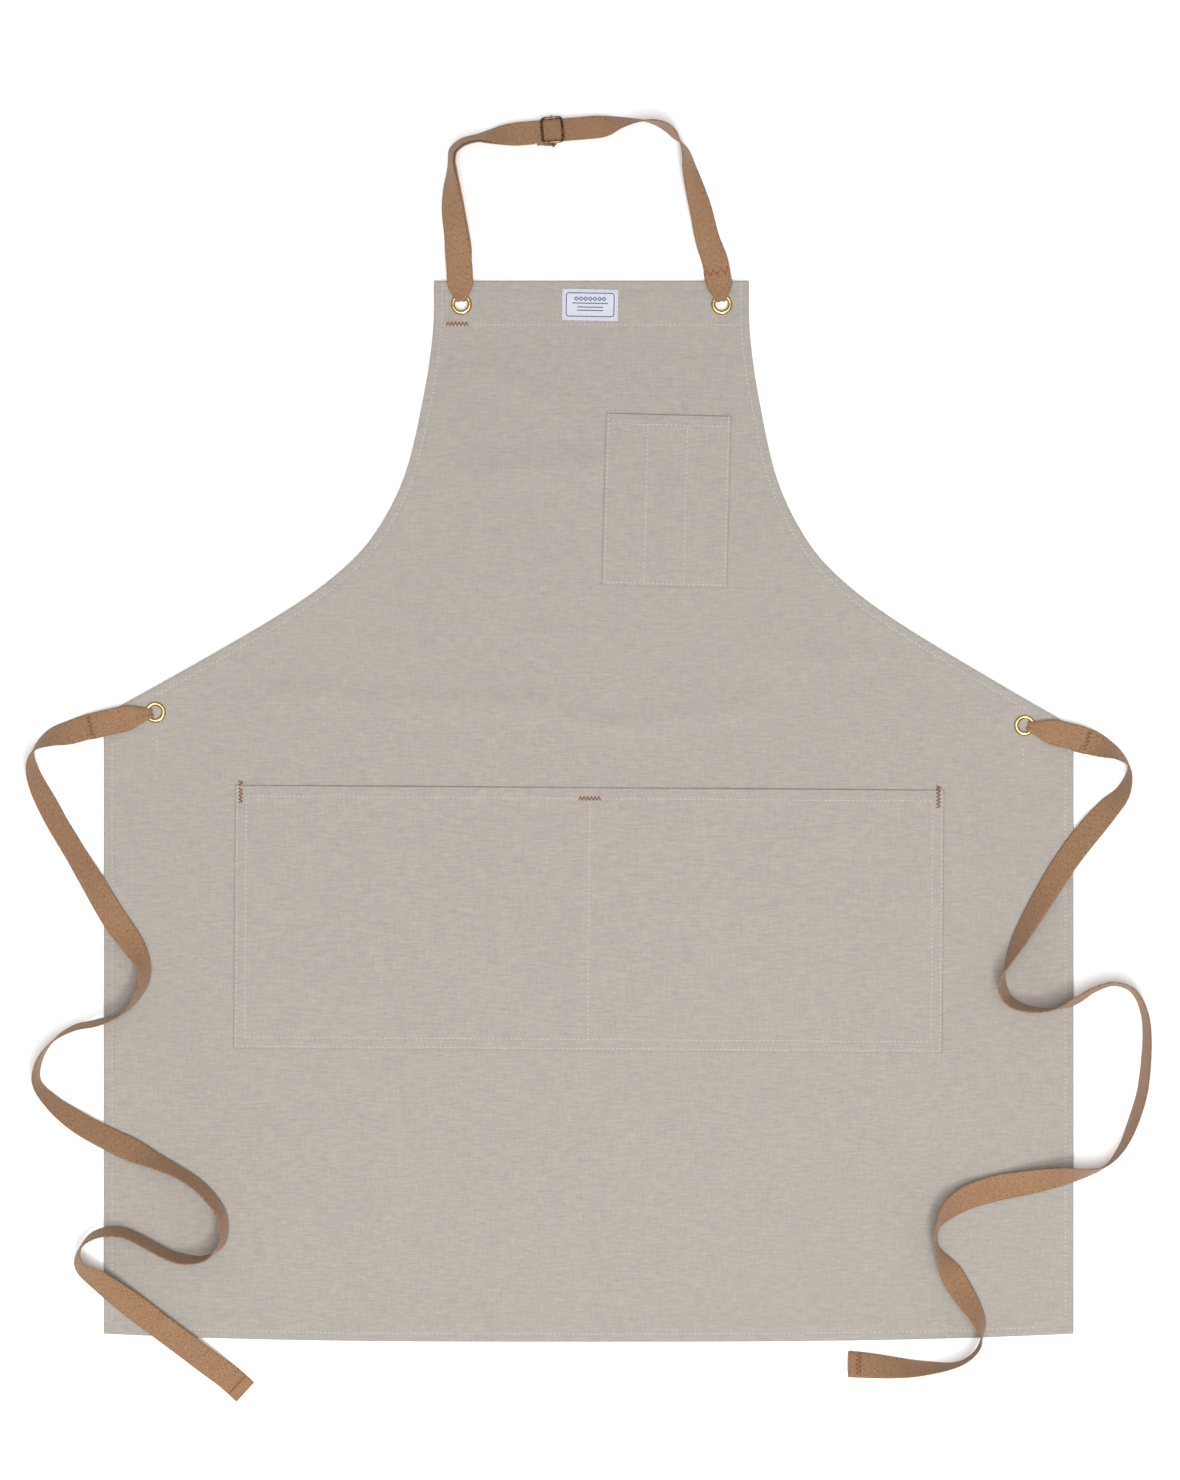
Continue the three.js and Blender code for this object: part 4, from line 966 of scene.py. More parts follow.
def surface(x, y):
    """Height of the cloth's upper face where it lies as a single ply."""
    x, y = np.asarray(x, float), np.asarray(y, float)
    inside = edge_distance(x, y)
    swell = 0.00022 * np.sin(2 * math.pi * (x / 0.31 + 0.2 * np.sin(2 * math.pi * y / 0.5)) + 0.6)
    swell += 0.0002 * np.sin(2 * math.pi * (y / 0.24 + 0.15 * np.sin(2 * math.pi * x / 0.4)) + 1.3)
    swell += 0.00012 * np.sin(2 * math.pi * (0.7 * x + y) / 0.13 + 2.1)
    under_straps = smooth((0.25 - np.abs(x)) / 0.03) * 0.7 + 0.3
    soft = smooth((inside - 0.010) / 0.03)
    sag = HEM_SAG * smooth((inside - 0.0085) / 0.014)
    return CLOTH_LEVEL + soft * under_straps * (swell + crease_height(x, y)) - sag - 0.00045 * soft


# ---------------------------------------------------------------- cloth pieces

EDGE_INSETS = np.array((0, 0.3, 0.8, 1.6, 2.8, 4.4, 5.4, 6.0, 6.6, 7.8, 9.2, 11.5, 15)) * MM
CELL = 4.6 * MM
RIM = 0.9 * MM
STITCH_DIP = 0.22 * MM


def rounded_rim(inset, radius=RIM):
    """How far a rounded edge falls below the face at an inset from the edge."""
    share = 1 - np.clip(inset / radius, 0, 1)
    return radius * 0.8 * (1 - np.sqrt(np.maximum(1 - share**2, 0)))


def dip(inset, row):
    """The groove that a row of stitches pulls into the cloth."""
    return STITCH_DIP * np.exp(-(((inset - row) / (1.1 * MM)) ** 2))


def grid_faces(rows, columns):
    return [
        (j * columns + i, (j + 1) * columns + i, (j + 1) * columns + i + 1, j * columns + i + 1)
        for j in range(rows - 1) for i in range(columns - 1)
    ]


def upward_faces(shape):
    """The faces of a grid of rows and columns, turned to look up."""
    return [tuple(reversed(face)) for face in grid_faces(*shape)]


def skin(name, upper, lower, faces, material):
    """A closed sheet between two faces that share their grid, open where the grid has no face."""
    count = len(upper)
    edges = set()
    for face in faces:
        for a, b in zip(face, (*face[1:], face[0])):
            if (b, a) in edges:
                edges.remove((b, a))
            else:
                edges.add((a, b))
    closed = list(faces)
    closed.extend(tuple(count + v for v in reversed(face)) for face in faces)
    closed.extend((b, a, count + a, count + b) for a, b in sorted(edges))
    used = sorted({v for face in closed for v in face})
    place = {v: i for i, v in enumerate(used)}
    points = np.vstack([upper, lower])[used]
    return new_piece(name, points, [tuple(place[v] for v in face) for face in closed], material)


def laid_sheet(name, x, y, top, under, faces, material):
    """A closed sheet from the places of its grid and the heights of its two faces."""
    place = (np.ravel(x), np.ravel(y))
    upper = np.column_stack([*place, np.ravel(top)])
    lower = np.column_stack([*place, np.ravel(under)])
    return skin(name, upper, lower, faces, material)


def cut_hole(x, y, faces, middle, radius):
    """Clears the faces over a round hole and draws the grid's points out to its rim."""
    gap = np.hypot(x - middle.x, y - middle.y)
    inside = gap < radius
    kept = [face for face in faces if not all(inside[v] for v in face)]
    reach = np.where(inside, radius / np.maximum(gap, 1e-9), 1)
    return middle.x + (x - middle.x) * reach, middle.y + (y - middle.y) * reach, kept


def from_waist_eyelet(line, side):
    """How far the points of a line lie from the waist eyelet of a side."""
    eyelet = centre_of(f"eyelet_waist_{side}")
    return np.hypot(line[:, 0] - eyelet.x, line[:, 1] - eyelet.y)


def body_grid():
    """The cloth body's grid: x, y, distance from the nearest edge, and whether that is an armhole."""
    inner = EDGE_INSETS[-1]
    low = corner_y()
    steps = int((TOP - low - 2 * inner) / CELL)
    rows = np.concatenate([
        low + EDGE_INSETS, np.linspace(low + inner, TOP - inner, steps)[1:-1], TOP - EDGE_INSETS[::-1],
    ])
    waists = [TOP - sizes().waist_drop_left, TOP - sizes().waist_drop_right]
    for waist in waists:
        rows[np.abs(rows - waist).argmin()] = waist
    columns = []
    for side, inward in (("left", -1), ("right", 1)):
        for inset in EDGE_INSETS:
            line = offset_line(side_line(side), inward * inset)
            columns.append(np.interp(rows, line[:, 1], line[:, 0]))
    left, right = columns[: len(EDGE_INSETS)], columns[len(EDGE_INSETS) :][::-1]
    steps = int((RIGHT - LEFT - 2 * inner) / CELL)
    middle = [blend_of(left[-1], right[0], share) for share in np.linspace(0, 1, steps)[1:-1]]
    x = np.column_stack([*left, *middle, *right])
    from_side = np.concatenate([EDGE_INSETS, np.full(len(middle), inner), EDGE_INSETS[::-1]])
    from_end = np.minimum(rows - low, TOP - rows)
    y = np.repeat(rows[:, None], x.shape[1], axis=1)
    y = y - bow(x) * smooth((BOW_STARTS - y) / (BOW_STARTS - low))
    inset = np.minimum(from_side[None, :], from_end[:, None])
    on_left = np.arange(x.shape[1]) < x.shape[1] / 2
    waist = np.where(on_left, waists[0], waists[1])
    open_side = (y > waist[None, :]) & (from_side[None, :] < inner)
    return x, y, inset, open_side


class APRON_OT_cloth_body(bpy.types.Operator):
    """Builds the canvas body with its folded hems, creases and eyelet holes"""

    bl_idname = "apron.cloth_body"
    bl_label = "Cloth body"

    def execute(self, context):
        x, y, inset, open_side = body_grid()
        shape = x.shape
        top = surface(x, y) - rounded_rim(inset) - dip(inset, 6 * MM)
        ply = sizes().ply
        hemmed = (inset < sizes().hem) & ~open_side
        floor_gap = 0.1 * MM + rounded_rim(inset)
        under = np.where(hemmed, floor_gap, top - ply)
        under = np.where(inset <= 0, np.minimum(under, top - 0.3 * MM), under)
        x, y, faces = x.ravel(), y.ravel(), upward_faces(shape)
        for node in EYELET_NODES:
            x, y, faces = cut_hole(x, y, faces, centre_of(node), HOLE_RADIUS)
        body = laid_sheet("cloth_body_canvas", x, y, top, under, faces, MATERIALS["canvas"])
        settle(body, "root", "canvas", "cloth_body")
        return {"FINISHED"}


# ---------------------------------------------------------------- facings and patches


def band(name, line, width, low, high):
    """A flat cloth tape along a line, its width to the left of the line, with folded edges."""
    shares = np.array((0, 0.04, 0.12, 0.5, 0.88, 0.96, 1.0))
    columns = [offset_line(line, width * share) for share in shares]
    inset = np.minimum(shares, 1 - shares) * abs(width)
    drop = rounded_rim(inset, 0.7 * MM)
    count, wide = len(line), len(shares)
    upper, lower = [], []
    for i in range(count):
        for column, fall in zip(columns, drop):
            upper.append((*column[i], high - fall))
            lower.append((*column[i], low + fall))
    faces = grid_faces(count, wide)
    if width < 0:
        faces = [tuple(reversed(face)) for face in faces]
    return skin(name, np.array(upper), np.array(lower), faces, MATERIALS["canvas"])


class APRON_OT_facings(bpy.types.Operator):
    """Builds the tapes that face the armholes and the patches behind the waist eyelets"""

    bl_idname = "apron.facings"
    bl_label = "Facings and patches"

    def execute(self, context):
        for side, inward in (("left", 1), ("right", -1)):
            node = f"armhole_facing_{side}"
            low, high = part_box(node)
            line = offset_line(armhole(side), inward * 0.3 * MM)
            far = from_waist_eyelet(line, side) > PATCH_RADIUS
            line = line[far & (line[:, 1] < high.y)]
            width = inward * (sizes().hem - 0.4 * MM)
            tape = band(f"{node}_tape", line, width, low.z + 0.1 * MM, high.z - 0.1 * MM)
            settle(tape, "root", "canvas", node)
            self.patch(side)
        return {"FINISHED"}

    def patch(self, side):
        """The patch is a round piece of canvas, cut off along the cloth's edges."""
        node = f"waist_patch_{side}"
        low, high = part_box(node)
        eyelet = centre_of(f"eyelet_waist_{side}")
        edge = offset_line(side_line(side), (-1 if side == "left" else 1) * 0.6 * MM)
        outward = -1 if side == "left" else 1
        angles = np.linspace(0, 2 * math.pi, 73)[:-1]
        shares = (0.19, 0.3, 0.45, 0.6, 0.75, 0.88, 0.96, 1)
        rows = []
        for share in shares:
            radius = share * PATCH_RADIUS
            x = eyelet.x + radius * np.cos(angles)
            y = eyelet.y + radius * np.sin(angles)
            limit = np.interp(y, edge[:, 1], edge[:, 0])
            x = np.minimum(x * outward, limit * outward) * outward
            roof = np.interp(x * outward, (armhole(side)[:, 0] * outward), armhole(side)[:, 1])
            rows.append(np.column_stack([x, np.minimum(y, roof - 0.6 * MM)]))
        count = len(angles)
        flat = np.vstack(rows)
        fall = np.repeat(rounded_rim((1 - np.array(shares)) * PATCH_RADIUS, 0.5 * MM), count)
        faces = []
        for j in range(len(shares) - 1):
            for i in range(count):
                k = (i + 1) % count
                faces.append((j * count + i, (j + 1) * count + i, (j + 1) * count + k, j * count + k))
        top = surface(flat[:, 0], flat[:, 1]) - sizes().ply - 0.15 * MM
        upper = np.column_stack([flat, top - fall * 0.4])
        lower = np.column_stack([flat, np.maximum(top - 0.6 * MM, 0.02 * MM) + fall * 0.4])
        patch = skin(f"{node}_canvas", upper, lower, faces, MATERIALS["canvas"])
        settle(patch, "root", "canvas", node)


# ---------------------------------------------------------------- pockets and label

POCKETS = {
    "chest_pocket": {"tilt": -1.5, "turn": 9 * MM, "rows": (2.0 * MM,), "bow": 0.35 * MM},
    "waist_pocket": {"tilt": -0.4, "turn": 9 * MM, "rows": (1.8 * MM, 8.4 * MM), "bow": 0.6 * MM},
}
POCKET_INSETS = np.array((0, 0.3, 0.8, 1.4, 2.0, 2.8, 4.2, 6.0, 7.6, 8.4, 9.2, 10.4, 12.5)) * MM
POCKET_EDGE = 1.3 * MM
POCKET_MIDDLE = 0.95 * MM
POCKET_GAP = 0.1 * MM
TURN_EASES = 8 * MM
MOUTH_DEPTH = 22 * MM


def turned_size(node, tilt):
    """Width and length of a rectangle from its box and its tilt in degrees."""
    low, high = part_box(node)
    wide, tall = high.x - low.x, high.y - low.y
    c, s = math.cos(math.radians(tilt)), abs(math.sin(math.radians(tilt)))
    return (wide * c - tall * s) / (c * c - s * s), (tall * c - wide * s) / (c * c - s * s)


def local_frame(node, tilt):
    """A function from a piece's own x, y to the frame's."""
    middle = centre_of(node)
    c, s = math.cos(math.radians(tilt)), math.sin(math.radians(tilt))

    def place(x, y):
        return middle.x + x * c - y * s, middle.y + x * s + y * c

    return place


def rectangle_inset(x, y, width, length):
    """How far points of a rectangle lie from its nearest edge."""
    return np.minimum(width / 2 - np.abs(x), length / 2 - np.abs(y))


def pocket_face(name, x, y):
    """Height of a pocket's face above the cloth at the pocket's own x, y."""
    pocket = POCKETS[name]
    width, length = turned_size(name, pocket["tilt"])
    inset = rectangle_inset(x, y, width, length)
    inner = smooth((inset - pocket["turn"]) / (2.5 * MM))
    height = blend_of(POCKET_EDGE, POCKET_MIDDLE, inner) - rounded_rim(inset, 1.2 * MM)
    for row in pocket["rows"]:
        height = height - dip(inset, row)
    bays = pocket_bays(name)
    open_mouth = np.zeros_like(x)
    for low, high in zip(bays, bays[1:]):
        share = (x - low) / (high - low)
        within = (share > 0) & (share < 1)
        open_mouth = open_mouth + np.where(within, np.sin(math.pi * np.clip(share, 0, 1)), 0)
    from_mouth = length / 2 - y
    return height + pocket["bow"] * open_mouth * np.exp(-from_mouth / MOUTH_DEPTH)


def pocket_bays(name):
    """Where a pocket is sewn down along its mouth: its sides and its dividers."""
    width, _ = turned_size(name, POCKETS[name]["tilt"])
    dividers = CHEST_DIVIDERS if name == "chest_pocket" else (0,)
    return [-width / 2, *dividers, width / 2]


def with_edges(insets, size, middle):
    """Places from edge to edge: the insets from both edges, and the middle ones between them."""
    return np.concatenate([insets - size / 2, middle, size / 2 - insets[::-1]])


def inset_steps(size, cell):
    """Places across a pocket, close together over its turned edges."""
    inner = POCKET_INSETS[-1]
    count = max(4, int((size - 2 * inner) / cell))
    middle = np.linspace(-size / 2 + inner, size / 2 - inner, count)[1:-1]
    return with_edges(POCKET_INSETS, size, middle)


class APRON_OT_pockets(bpy.types.Operator):
    """Builds the chest pocket and the waist pocket with their turned edges"""

    bl_idname = "apron.pockets"
    bl_label = "Pockets"

    def execute(self, context):
        for name, pocket in POCKETS.items():
            width, length = turned_size(name, pocket["tilt"])
            x, y = np.meshgrid(inset_steps(width, 4 * MM), inset_steps(length, 4 * MM))
            place = local_frame(name, pocket["tilt"])
            world_x, world_y = place(x, y)
            ground = surface(world_x, world_y) + POCKET_GAP
            top = ground + pocket_face(name, x, y)
            turned = smooth((rectangle_inset(x, y, width, length) - TURN_EASES) / MM)
            under = ground + turned * (top - ground - sizes().ply) * 0.8
            faces = upward_faces(x.shape)
            piece = laid_sheet(f"{name}_canvas", world_x, world_y, top, under, faces, MATERIALS["canvas"])
            settle(piece, "root", "canvas", name)
        return {"FINISHED"}


LABEL_TILT = -1.0
LABEL_BORDER = 3.0 * MM
LABEL_CORNER = 2.2 * MM
LABEL_ROW = 1.3 * MM
LABEL_INSETS = np.array((0, 0.12, 0.4, 1.0, 1.8)) * MM


def label_top(x, y):
    """Height of the label's face over the frame's x, y."""
    low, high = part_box("label")
    return surface(x, y) + POCKET_GAP + (high.z - low.z)


class APRON_OT_label(bpy.types.Operator):
    """Builds the woven label with a plain border and a row of diamonds"""

    bl_idname = "apron.label"
    bl_label = "Label"

    def execute(self, context):
        width, length = turned_size("label", LABEL_TILT)
        place = local_frame("label", LABEL_TILT)
        across = with_edges(LABEL_INSETS, width, np.linspace(-width / 2, width / 2, 30)[2:-2])
        down = with_edges(LABEL_INSETS, length, np.linspace(-length / 2, length / 2, 18)[2:-2])
        x, y = np.meshgrid(across, down)
        inset = rectangle_inset(x, y, width, length)
        ragged = 0.12 * MM * np.sin(x / (0.9 * MM)) * np.exp(-inset / (0.5 * MM))
        world_x, world_y = place(x, y + ragged * np.sign(y))
        ground = surface(world_x, world_y) + POCKET_GAP
        face = label_top(world_x, world_y)
        top = face - rounded_rim(inset, 0.25 * MM) - dip(inset, LABEL_ROW) * 0.6
        faces = upward_faces(x.shape)
        piece = laid_sheet("label_cloth", world_x, world_y, top, ground, faces, MATERIALS["label"])
        settle(piece, "root", "label", "label")
        self.figure(place, width, length)
        return {"FINISHED"}

    def figure(self, place, width, length):
        """The border, a chain of diamonds and three plain rules, in slate blue yarn."""
        half = (width / 2 - LABEL_BORDER, length / 2 - LABEL_BORDER)
        corners = [(x * half[0], y * half[1]) for x, y in ((1, 1), (-1, 1), (-1, -1), (1, -1))]
        border = rounded_path([(*corner, 0) for corner in corners], LABEL_CORNER, True)
        rows = [np.vstack([border, border[:1]])[:, :2]]
        for i in range(-3, 4):
            x, y, r = i * 3.4 * MM, 4.3 * MM, 1.4 * MM
            rows.append(np.array([(x - r, y), (x, y + r), (x + r, y), (x, y - r), (x - r, y)]))
        for half_rule, y in ((13.0, 1.1), (9.5, -1.7), (9.5, -4.1)):
            rows.append(np.array([(-half_rule * MM, y * MM), (half_rule * MM, y * MM)]))
        lines = []
        for row in rows:
            fine = densified(row, 1.2 * MM)
            x, y = place(fine[:, 0], fine[:, 1])
            lines.append(np.column_stack([x, y, label_top(x, y)]))
        figure = threaded("label_figure", lines, 0.36 * MM, MATERIALS["figure_thread"])
        settle(figure, "root", "label")


# ---------------------------------------------------------------- eyelets

EYELET_NODES = [f"eyelet_{place}" for place in ("neck_left", "neck_right", "waist_left", "waist_right")]
HOLE_RADIUS = 5.6 * MM
BORE_RADIUS = 4.5 * MM
TURN_SIDES = 72


def turned(middle, profile):
    """Points and faces of a closed ring turned about an upright axis: radius and height."""
    angles = np.linspace(0, 2 * math.pi, TURN_SIDES, endpoint=False)
    points = [
        (middle.x + r * math.cos(a), middle.y + r * math.sin(a), z) for a in angles for r, z in profile
    ]
    count = len(profile)
    faces = []
    for i in range(TURN_SIDES):
        here, there = i * count, ((i + 1) % TURN_SIDES) * count
        for j in range(count):
            k = (j + 1) % count
            faces.append((here + j, there + j, there + k, here + k))
    return points, faces


class APRON_OT_eyelets(bpy.types.Operator):
    """Builds the brass eyelets: rolled flange and barrel in front, washer behind"""

    bl_idname = "apron.eyelets"
    bl_label = "Eyelets"

    def execute(self, context):
        for node in EYELET_NODES:
            low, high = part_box(node)
            radius = (high.x - low.x) / 2
            roll = (radius - BORE_RADIUS) / 2
            seat = CLOTH_LEVEL - 0.5 * MM
            flange = []
            for angle in np.linspace(-0.12 * math.pi, 1.12 * math.pi, 19):
                x = radius - roll + roll * math.cos(angle)
                flange.append((x, seat + (high.z - seat) * max(math.sin(angle), -0.2)))
            barrel = [
                (BORE_RADIUS, CLOTH_LEVEL - 0.9 * MM), (BORE_RADIUS, low.z + 0.3 * MM),
                (BORE_RADIUS + 0.15 * MM, low.z + 0.1 * MM), (BORE_RADIUS + 0.5 * MM, low.z),
                (BORE_RADIUS + 1.6 * MM, low.z + 0.02 * MM), (BORE_RADIUS + 1.6 * MM, low.z + 0.18 * MM),
                (BORE_RADIUS + 0.55 * MM, low.z + 0.2 * MM), (BORE_RADIUS + 0.5 * MM, seat - 0.2 * MM),
            ]
            shell = turned(centre_of(node), [*flange, *barrel])
            ring = new_piece(f"{node}_ring", *shell, MATERIALS["brass"])
            settle(ring, "root", "brass", node)
            washer_node = node.replace("eyelet_", "eyelet_washer_")
            low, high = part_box(washer_node)
            inner, outer = BORE_RADIUS + 0.625 * MM, (high.x - low.x) / 2
            rim = 0.12 * MM
            section = [
                (inner, low.z), (outer - rim, low.z), (outer, low.z + rim), (outer, high.z - rim),
                (outer - rim, high.z), (inner, high.z),
            ]
            disc = turned(centre_of(washer_node), section)
            washer = new_piece(f"{washer_node}_ring", *disc, MATERIALS["brass"])
            settle(washer, "root", "brass", washer_node)
        return {"FINISHED"}


# ---------------------------------------------------------------- sewing, by geometry nodes


def densified(line, step):
    """A line with points no further apart than a step."""
    line = np.asarray(line, float)
    pieces = []
    for a, b in zip(line, line[1:]):
        count = max(1, int(math.ceil(np.linalg.norm(b - a) / step)))
        pieces.append(a + (b - a) * np.linspace(0, 1, count, endpoint=False)[:, None])
    return np.vstack([*pieces, line[-1:]])


def new_tree(name, inputs):
    """A geometry node tree with named inputs, from geometry to geometry."""
    tree = bpy.data.node_groups.new(name, "GeometryNodeTree")
    tree.interface.new_socket("Geometry", in_out="INPUT", socket_type="NodeSocketGeometry")
    for label, kind in inputs:
        tree.interface.new_socket(label, in_out="INPUT", socket_type=kind)
    tree.interface.new_socket("Geometry", in_out="OUTPUT", socket_type="NodeSocketGeometry")
    return tree, tree.nodes.new("NodeGroupInput").outputs


def close_tree(tree, geometry, material):
    """Ends a tree in real, smooth geometry with its material set."""
    real = add(tree, "GeometryNodeRealizeInstances", {"Geometry": geometry})
    shaded = add(tree, "GeometryNodeSetShadeSmooth", {"Geometry": real.outputs[0]})
    done = add(tree, "GeometryNodeSetMaterial", {"Geometry": shaded.outputs[0], "Material": material})
    add(tree, "NodeGroupOutput", {0: done.outputs[0]})
    return tree


def stitch_tree():
    """Lays a stitch at each pitch along lines, turned along them, each a little different."""
    tree, given = new_tree("running stitches", [
        ("Pitch", "NodeSocketFloat"), ("Length", "NodeSocketFloat"), ("Thread", "NodeSocketFloat"),
        ("Seed", "NodeSocketInt"), ("Material", "NodeSocketMaterial"),
    ])
    curve = add(tree, "GeometryNodeMeshToCurve", {"Mesh": given["Geometry"]})
    spaced = add(tree, "GeometryNodeResampleCurve", {"Curve": curve.outputs[0]})
    spaced.mode = "LENGTH"
    tree.links.new(given["Pitch"], spaced.inputs["Length"])
    tangent = add(tree, "GeometryNodeInputTangent")
    turn = add(tree, "FunctionNodeAlignRotationToVector", {"Vector": tangent.outputs[0]}, axis="Z")
    bead = add(tree, "GeometryNodeMeshUVSphere", {"Segments": 7, "Rings": 5, "Radius": 1.0})
    half = math_node(tree, "MULTIPLY", given["Length"], 0.5)
    shape = add(tree, "ShaderNodeCombineXYZ", {"X": given["Thread"], "Y": given["Thread"], "Z": half})
    vary = add(tree, "FunctionNodeRandomValue", {"Seed": given["Seed"]}, data_type="FLOAT_VECTOR")
    vary.inputs["Min"].default_value = (0.85, 0.85, 0.88)
    vary.inputs["Max"].default_value = (1.12, 1.12, 1.06)
    size = add(tree, "ShaderNodeVectorMath", {0: shape.outputs[0], 1: vary.outputs[0]}, operation="MULTIPLY")
    laid = add(tree, "GeometryNodeInstanceOnPoints", {
        "Points": spaced.outputs[0], "Instance": bead.outputs["Mesh"],
        "Rotation": turn.outputs[0], "Scale": size.outputs[0],
    })
    return close_tree(tree, laid.outputs[0], given["Material"])


def thread_tree():
    """Draws a round thread along lines."""
    tree, given = new_tree("continuous thread", [
        ("Thread", "NodeSocketFloat"), ("Material", "NodeSocketMaterial"),
    ])
    curve = add(tree, "GeometryNodeMeshToCurve", {"Mesh": given["Geometry"]})
    ring = add(tree, "GeometryNodeCurvePrimitiveCircle", {"Resolution": 7, "Radius": given["Thread"]})
    solid = add(tree, "GeometryNodeCurveToMesh", {
        "Curve": curve.outputs[0], "Profile Curve": ring.outputs[0], "Fill Caps": True,
    })
    return close_tree(tree, solid.outputs[0], given["Material"])


TREES = {}


def grown(name, lines, tree, values):
    """Runs a tree over lines and returns the plain mesh that it makes."""
    points, edges = [], []
    for line in lines:
        start = len(points)
        points.extend(tuple(p) for p in line)
        edges.extend((i, i + 1) for i in range(start, len(points) - 1))
    source_mesh = bpy.data.meshes.new(f"{name}_lines")
    source_mesh.from_pydata(points, edges, [])
    source = bpy.data.objects.new(f"{name}_lines", source_mesh)
    bpy.context.scene.collection.objects.link(source)
    modifier = source.modifiers.new("sewing", "NODES")
    modifier.node_group = tree
    for item in tree.interface.items_tree:
        if item.in_out == "INPUT" and item.name in values:
            modifier[item.identifier] = values[item.name]
    depsgraph = bpy.context.evaluated_depsgraph_get()
    mesh = bpy.data.meshes.new_from_object(source.evaluated_get(depsgraph))
    bpy.data.objects.remove(source)
    bpy.data.meshes.remove(source_mesh)
    if not mesh.polygons:
        raise RuntimeError(f"{name} came out with no faces")
    piece = bpy.data.objects.new(name, mesh)
    bpy.context.scene.collection.objects.link(piece)
    return piece


def threaded(name, lines, radius, material):
    if "thread" not in TREES:
        TREES["thread"] = thread_tree()
    return grown(name, lines, TREES["thread"], {"Thread": radius, "Material": material})


def stitched(name, lines, seed):
    if "stitch" not in TREES:
        TREES["stitch"] = stitch_tree()
    values = {
        "Pitch": sizes().stitch_pitch, "Length": sizes().stitch_length,
        "Thread": sizes().seam_thread, "Seed": seed, "Material": MATERIALS["seam_thread"],
    }
    return grown(name, lines, TREES["stitch"], values)


HEM_ROW = 6 * MM
SEAM_LIFT = 0.05 * MM
ROW_STEP = 3 * MM
SEAM_CLEAR = 10 * MM


def on_cloth(line):
    """A line of x, y laid on the cloth, in the dip of its stitches."""
    fine = densified(line, ROW_STEP)
    height = surface(fine[:, 0], fine[:, 1]) - STITCH_DIP + SEAM_LIFT
    return np.column_stack([fine, height])


def on_pocket(name, line):
    """A line in a pocket's own x, y, laid on its face."""
    fine = densified(line, ROW_STEP)
    x, y = local_frame(name, POCKETS[name]["tilt"])(fine[:, 0], fine[:, 1])
    height = surface(x, y) + POCKET_GAP + pocket_face(name, fine[:, 0], fine[:, 1]) + SEAM_LIFT
    return np.column_stack([x, y, height])


def hem_seams():
    """The seams of the folded edges, by node: lines of x, y on the cloth."""
    low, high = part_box("bib_hem_seam")
    row = (low.y + high.y) / 2
    seams = {"bib_hem_seam": [(low.x, row), (high.x, row)]}
    for side, inward in (("left", 1), ("right", -1)):
        line = offset_line(armhole(side), inward * HEM_ROW)
        clear = from_waist_eyelet(line, side) > SEAM_CLEAR
        reached = np.abs(line[:, 0]) < abs(centre_of(f"eyelet_waist_{side}").x)
        seams[f"armhole_seam_{side}"] = line[clear & reached & (line[:, 1] < TOP - 2 * MM)]
        for node in (f"side_hem_seam_{side}", f"waist_patch_seam_{side}"):
            low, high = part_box(node)
            x = (low.x + high.x) / 2
            seams[node] = [(x, low.y), (x, high.y)]
    low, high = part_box("bottom_hem_seam")
    x = np.linspace(low.x, high.x, 60)
    seams["bottom_hem_seam"] = np.column_stack([x, corner_y() - bow(x) + HEM_ROW])
    return seams


CHEST_DIVIDERS = (-15 * MM, 14 * MM)


def round_row(size, inset, top):
    """A row of stitches down one side, along the bottom and up the other side."""
    x, y = size[0] / 2 - inset, size[1] / 2 - inset
    return [(-x, top), (-x, -y), (x, -y), (x, top)]


def pocket_seams():
    """The seams of the pockets, by node: pocket and lines in its own x, y."""
    chest = turned_size("chest_pocket", POCKETS["chest_pocket"]["tilt"])
    edge, hem = POCKETS["chest_pocket"]["rows"][0], chest[1] / 2 - 7.6 * MM
    reach = chest[0] / 2 - edge - 1.5 * MM
    seams = {
        "chest_pocket_edge_seam": ("chest_pocket", round_row(chest, edge, chest[1] / 2 - MM)),
        "chest_pocket_hem_seam": ("chest_pocket", [(-reach, hem), (reach, hem)]),
    }
    for i, x in enumerate(CHEST_DIVIDERS):
        ends = [(x, hem - 1.5 * MM), (x, -chest[1] / 2 + edge + 1.5 * MM)]
        seams[f"chest_pocket_divider_seam_{i + 1}"] = ("chest_pocket", ends)
    waist = turned_size("waist_pocket", POCKETS["waist_pocket"]["tilt"])
    outer, inner = POCKETS["waist_pocket"]["rows"]
    hem = waist[1] / 2 - 8 * MM
    reach = waist[0] / 2 - inner - 2 * MM
    low = -waist[1] / 2 + inner + 1.5 * MM
    for node, line in (
        ("waist_pocket_outer_seam", round_row(waist, outer, waist[1] / 2 - MM)),
        ("waist_pocket_inner_seam", round_row(waist, inner, hem - 1.5 * MM)),
        ("waist_pocket_hem_seam", [(-reach, hem), (-10 * MM, hem)]),
        ("waist_pocket_hem_seam_right", [(10 * MM, hem), (reach, hem)]),
        ("waist_pocket_divider_seam", [(0, hem - 3.5 * MM), (0, low)]),
    ):
        seams[node] = ("waist_pocket", line)
    return seams


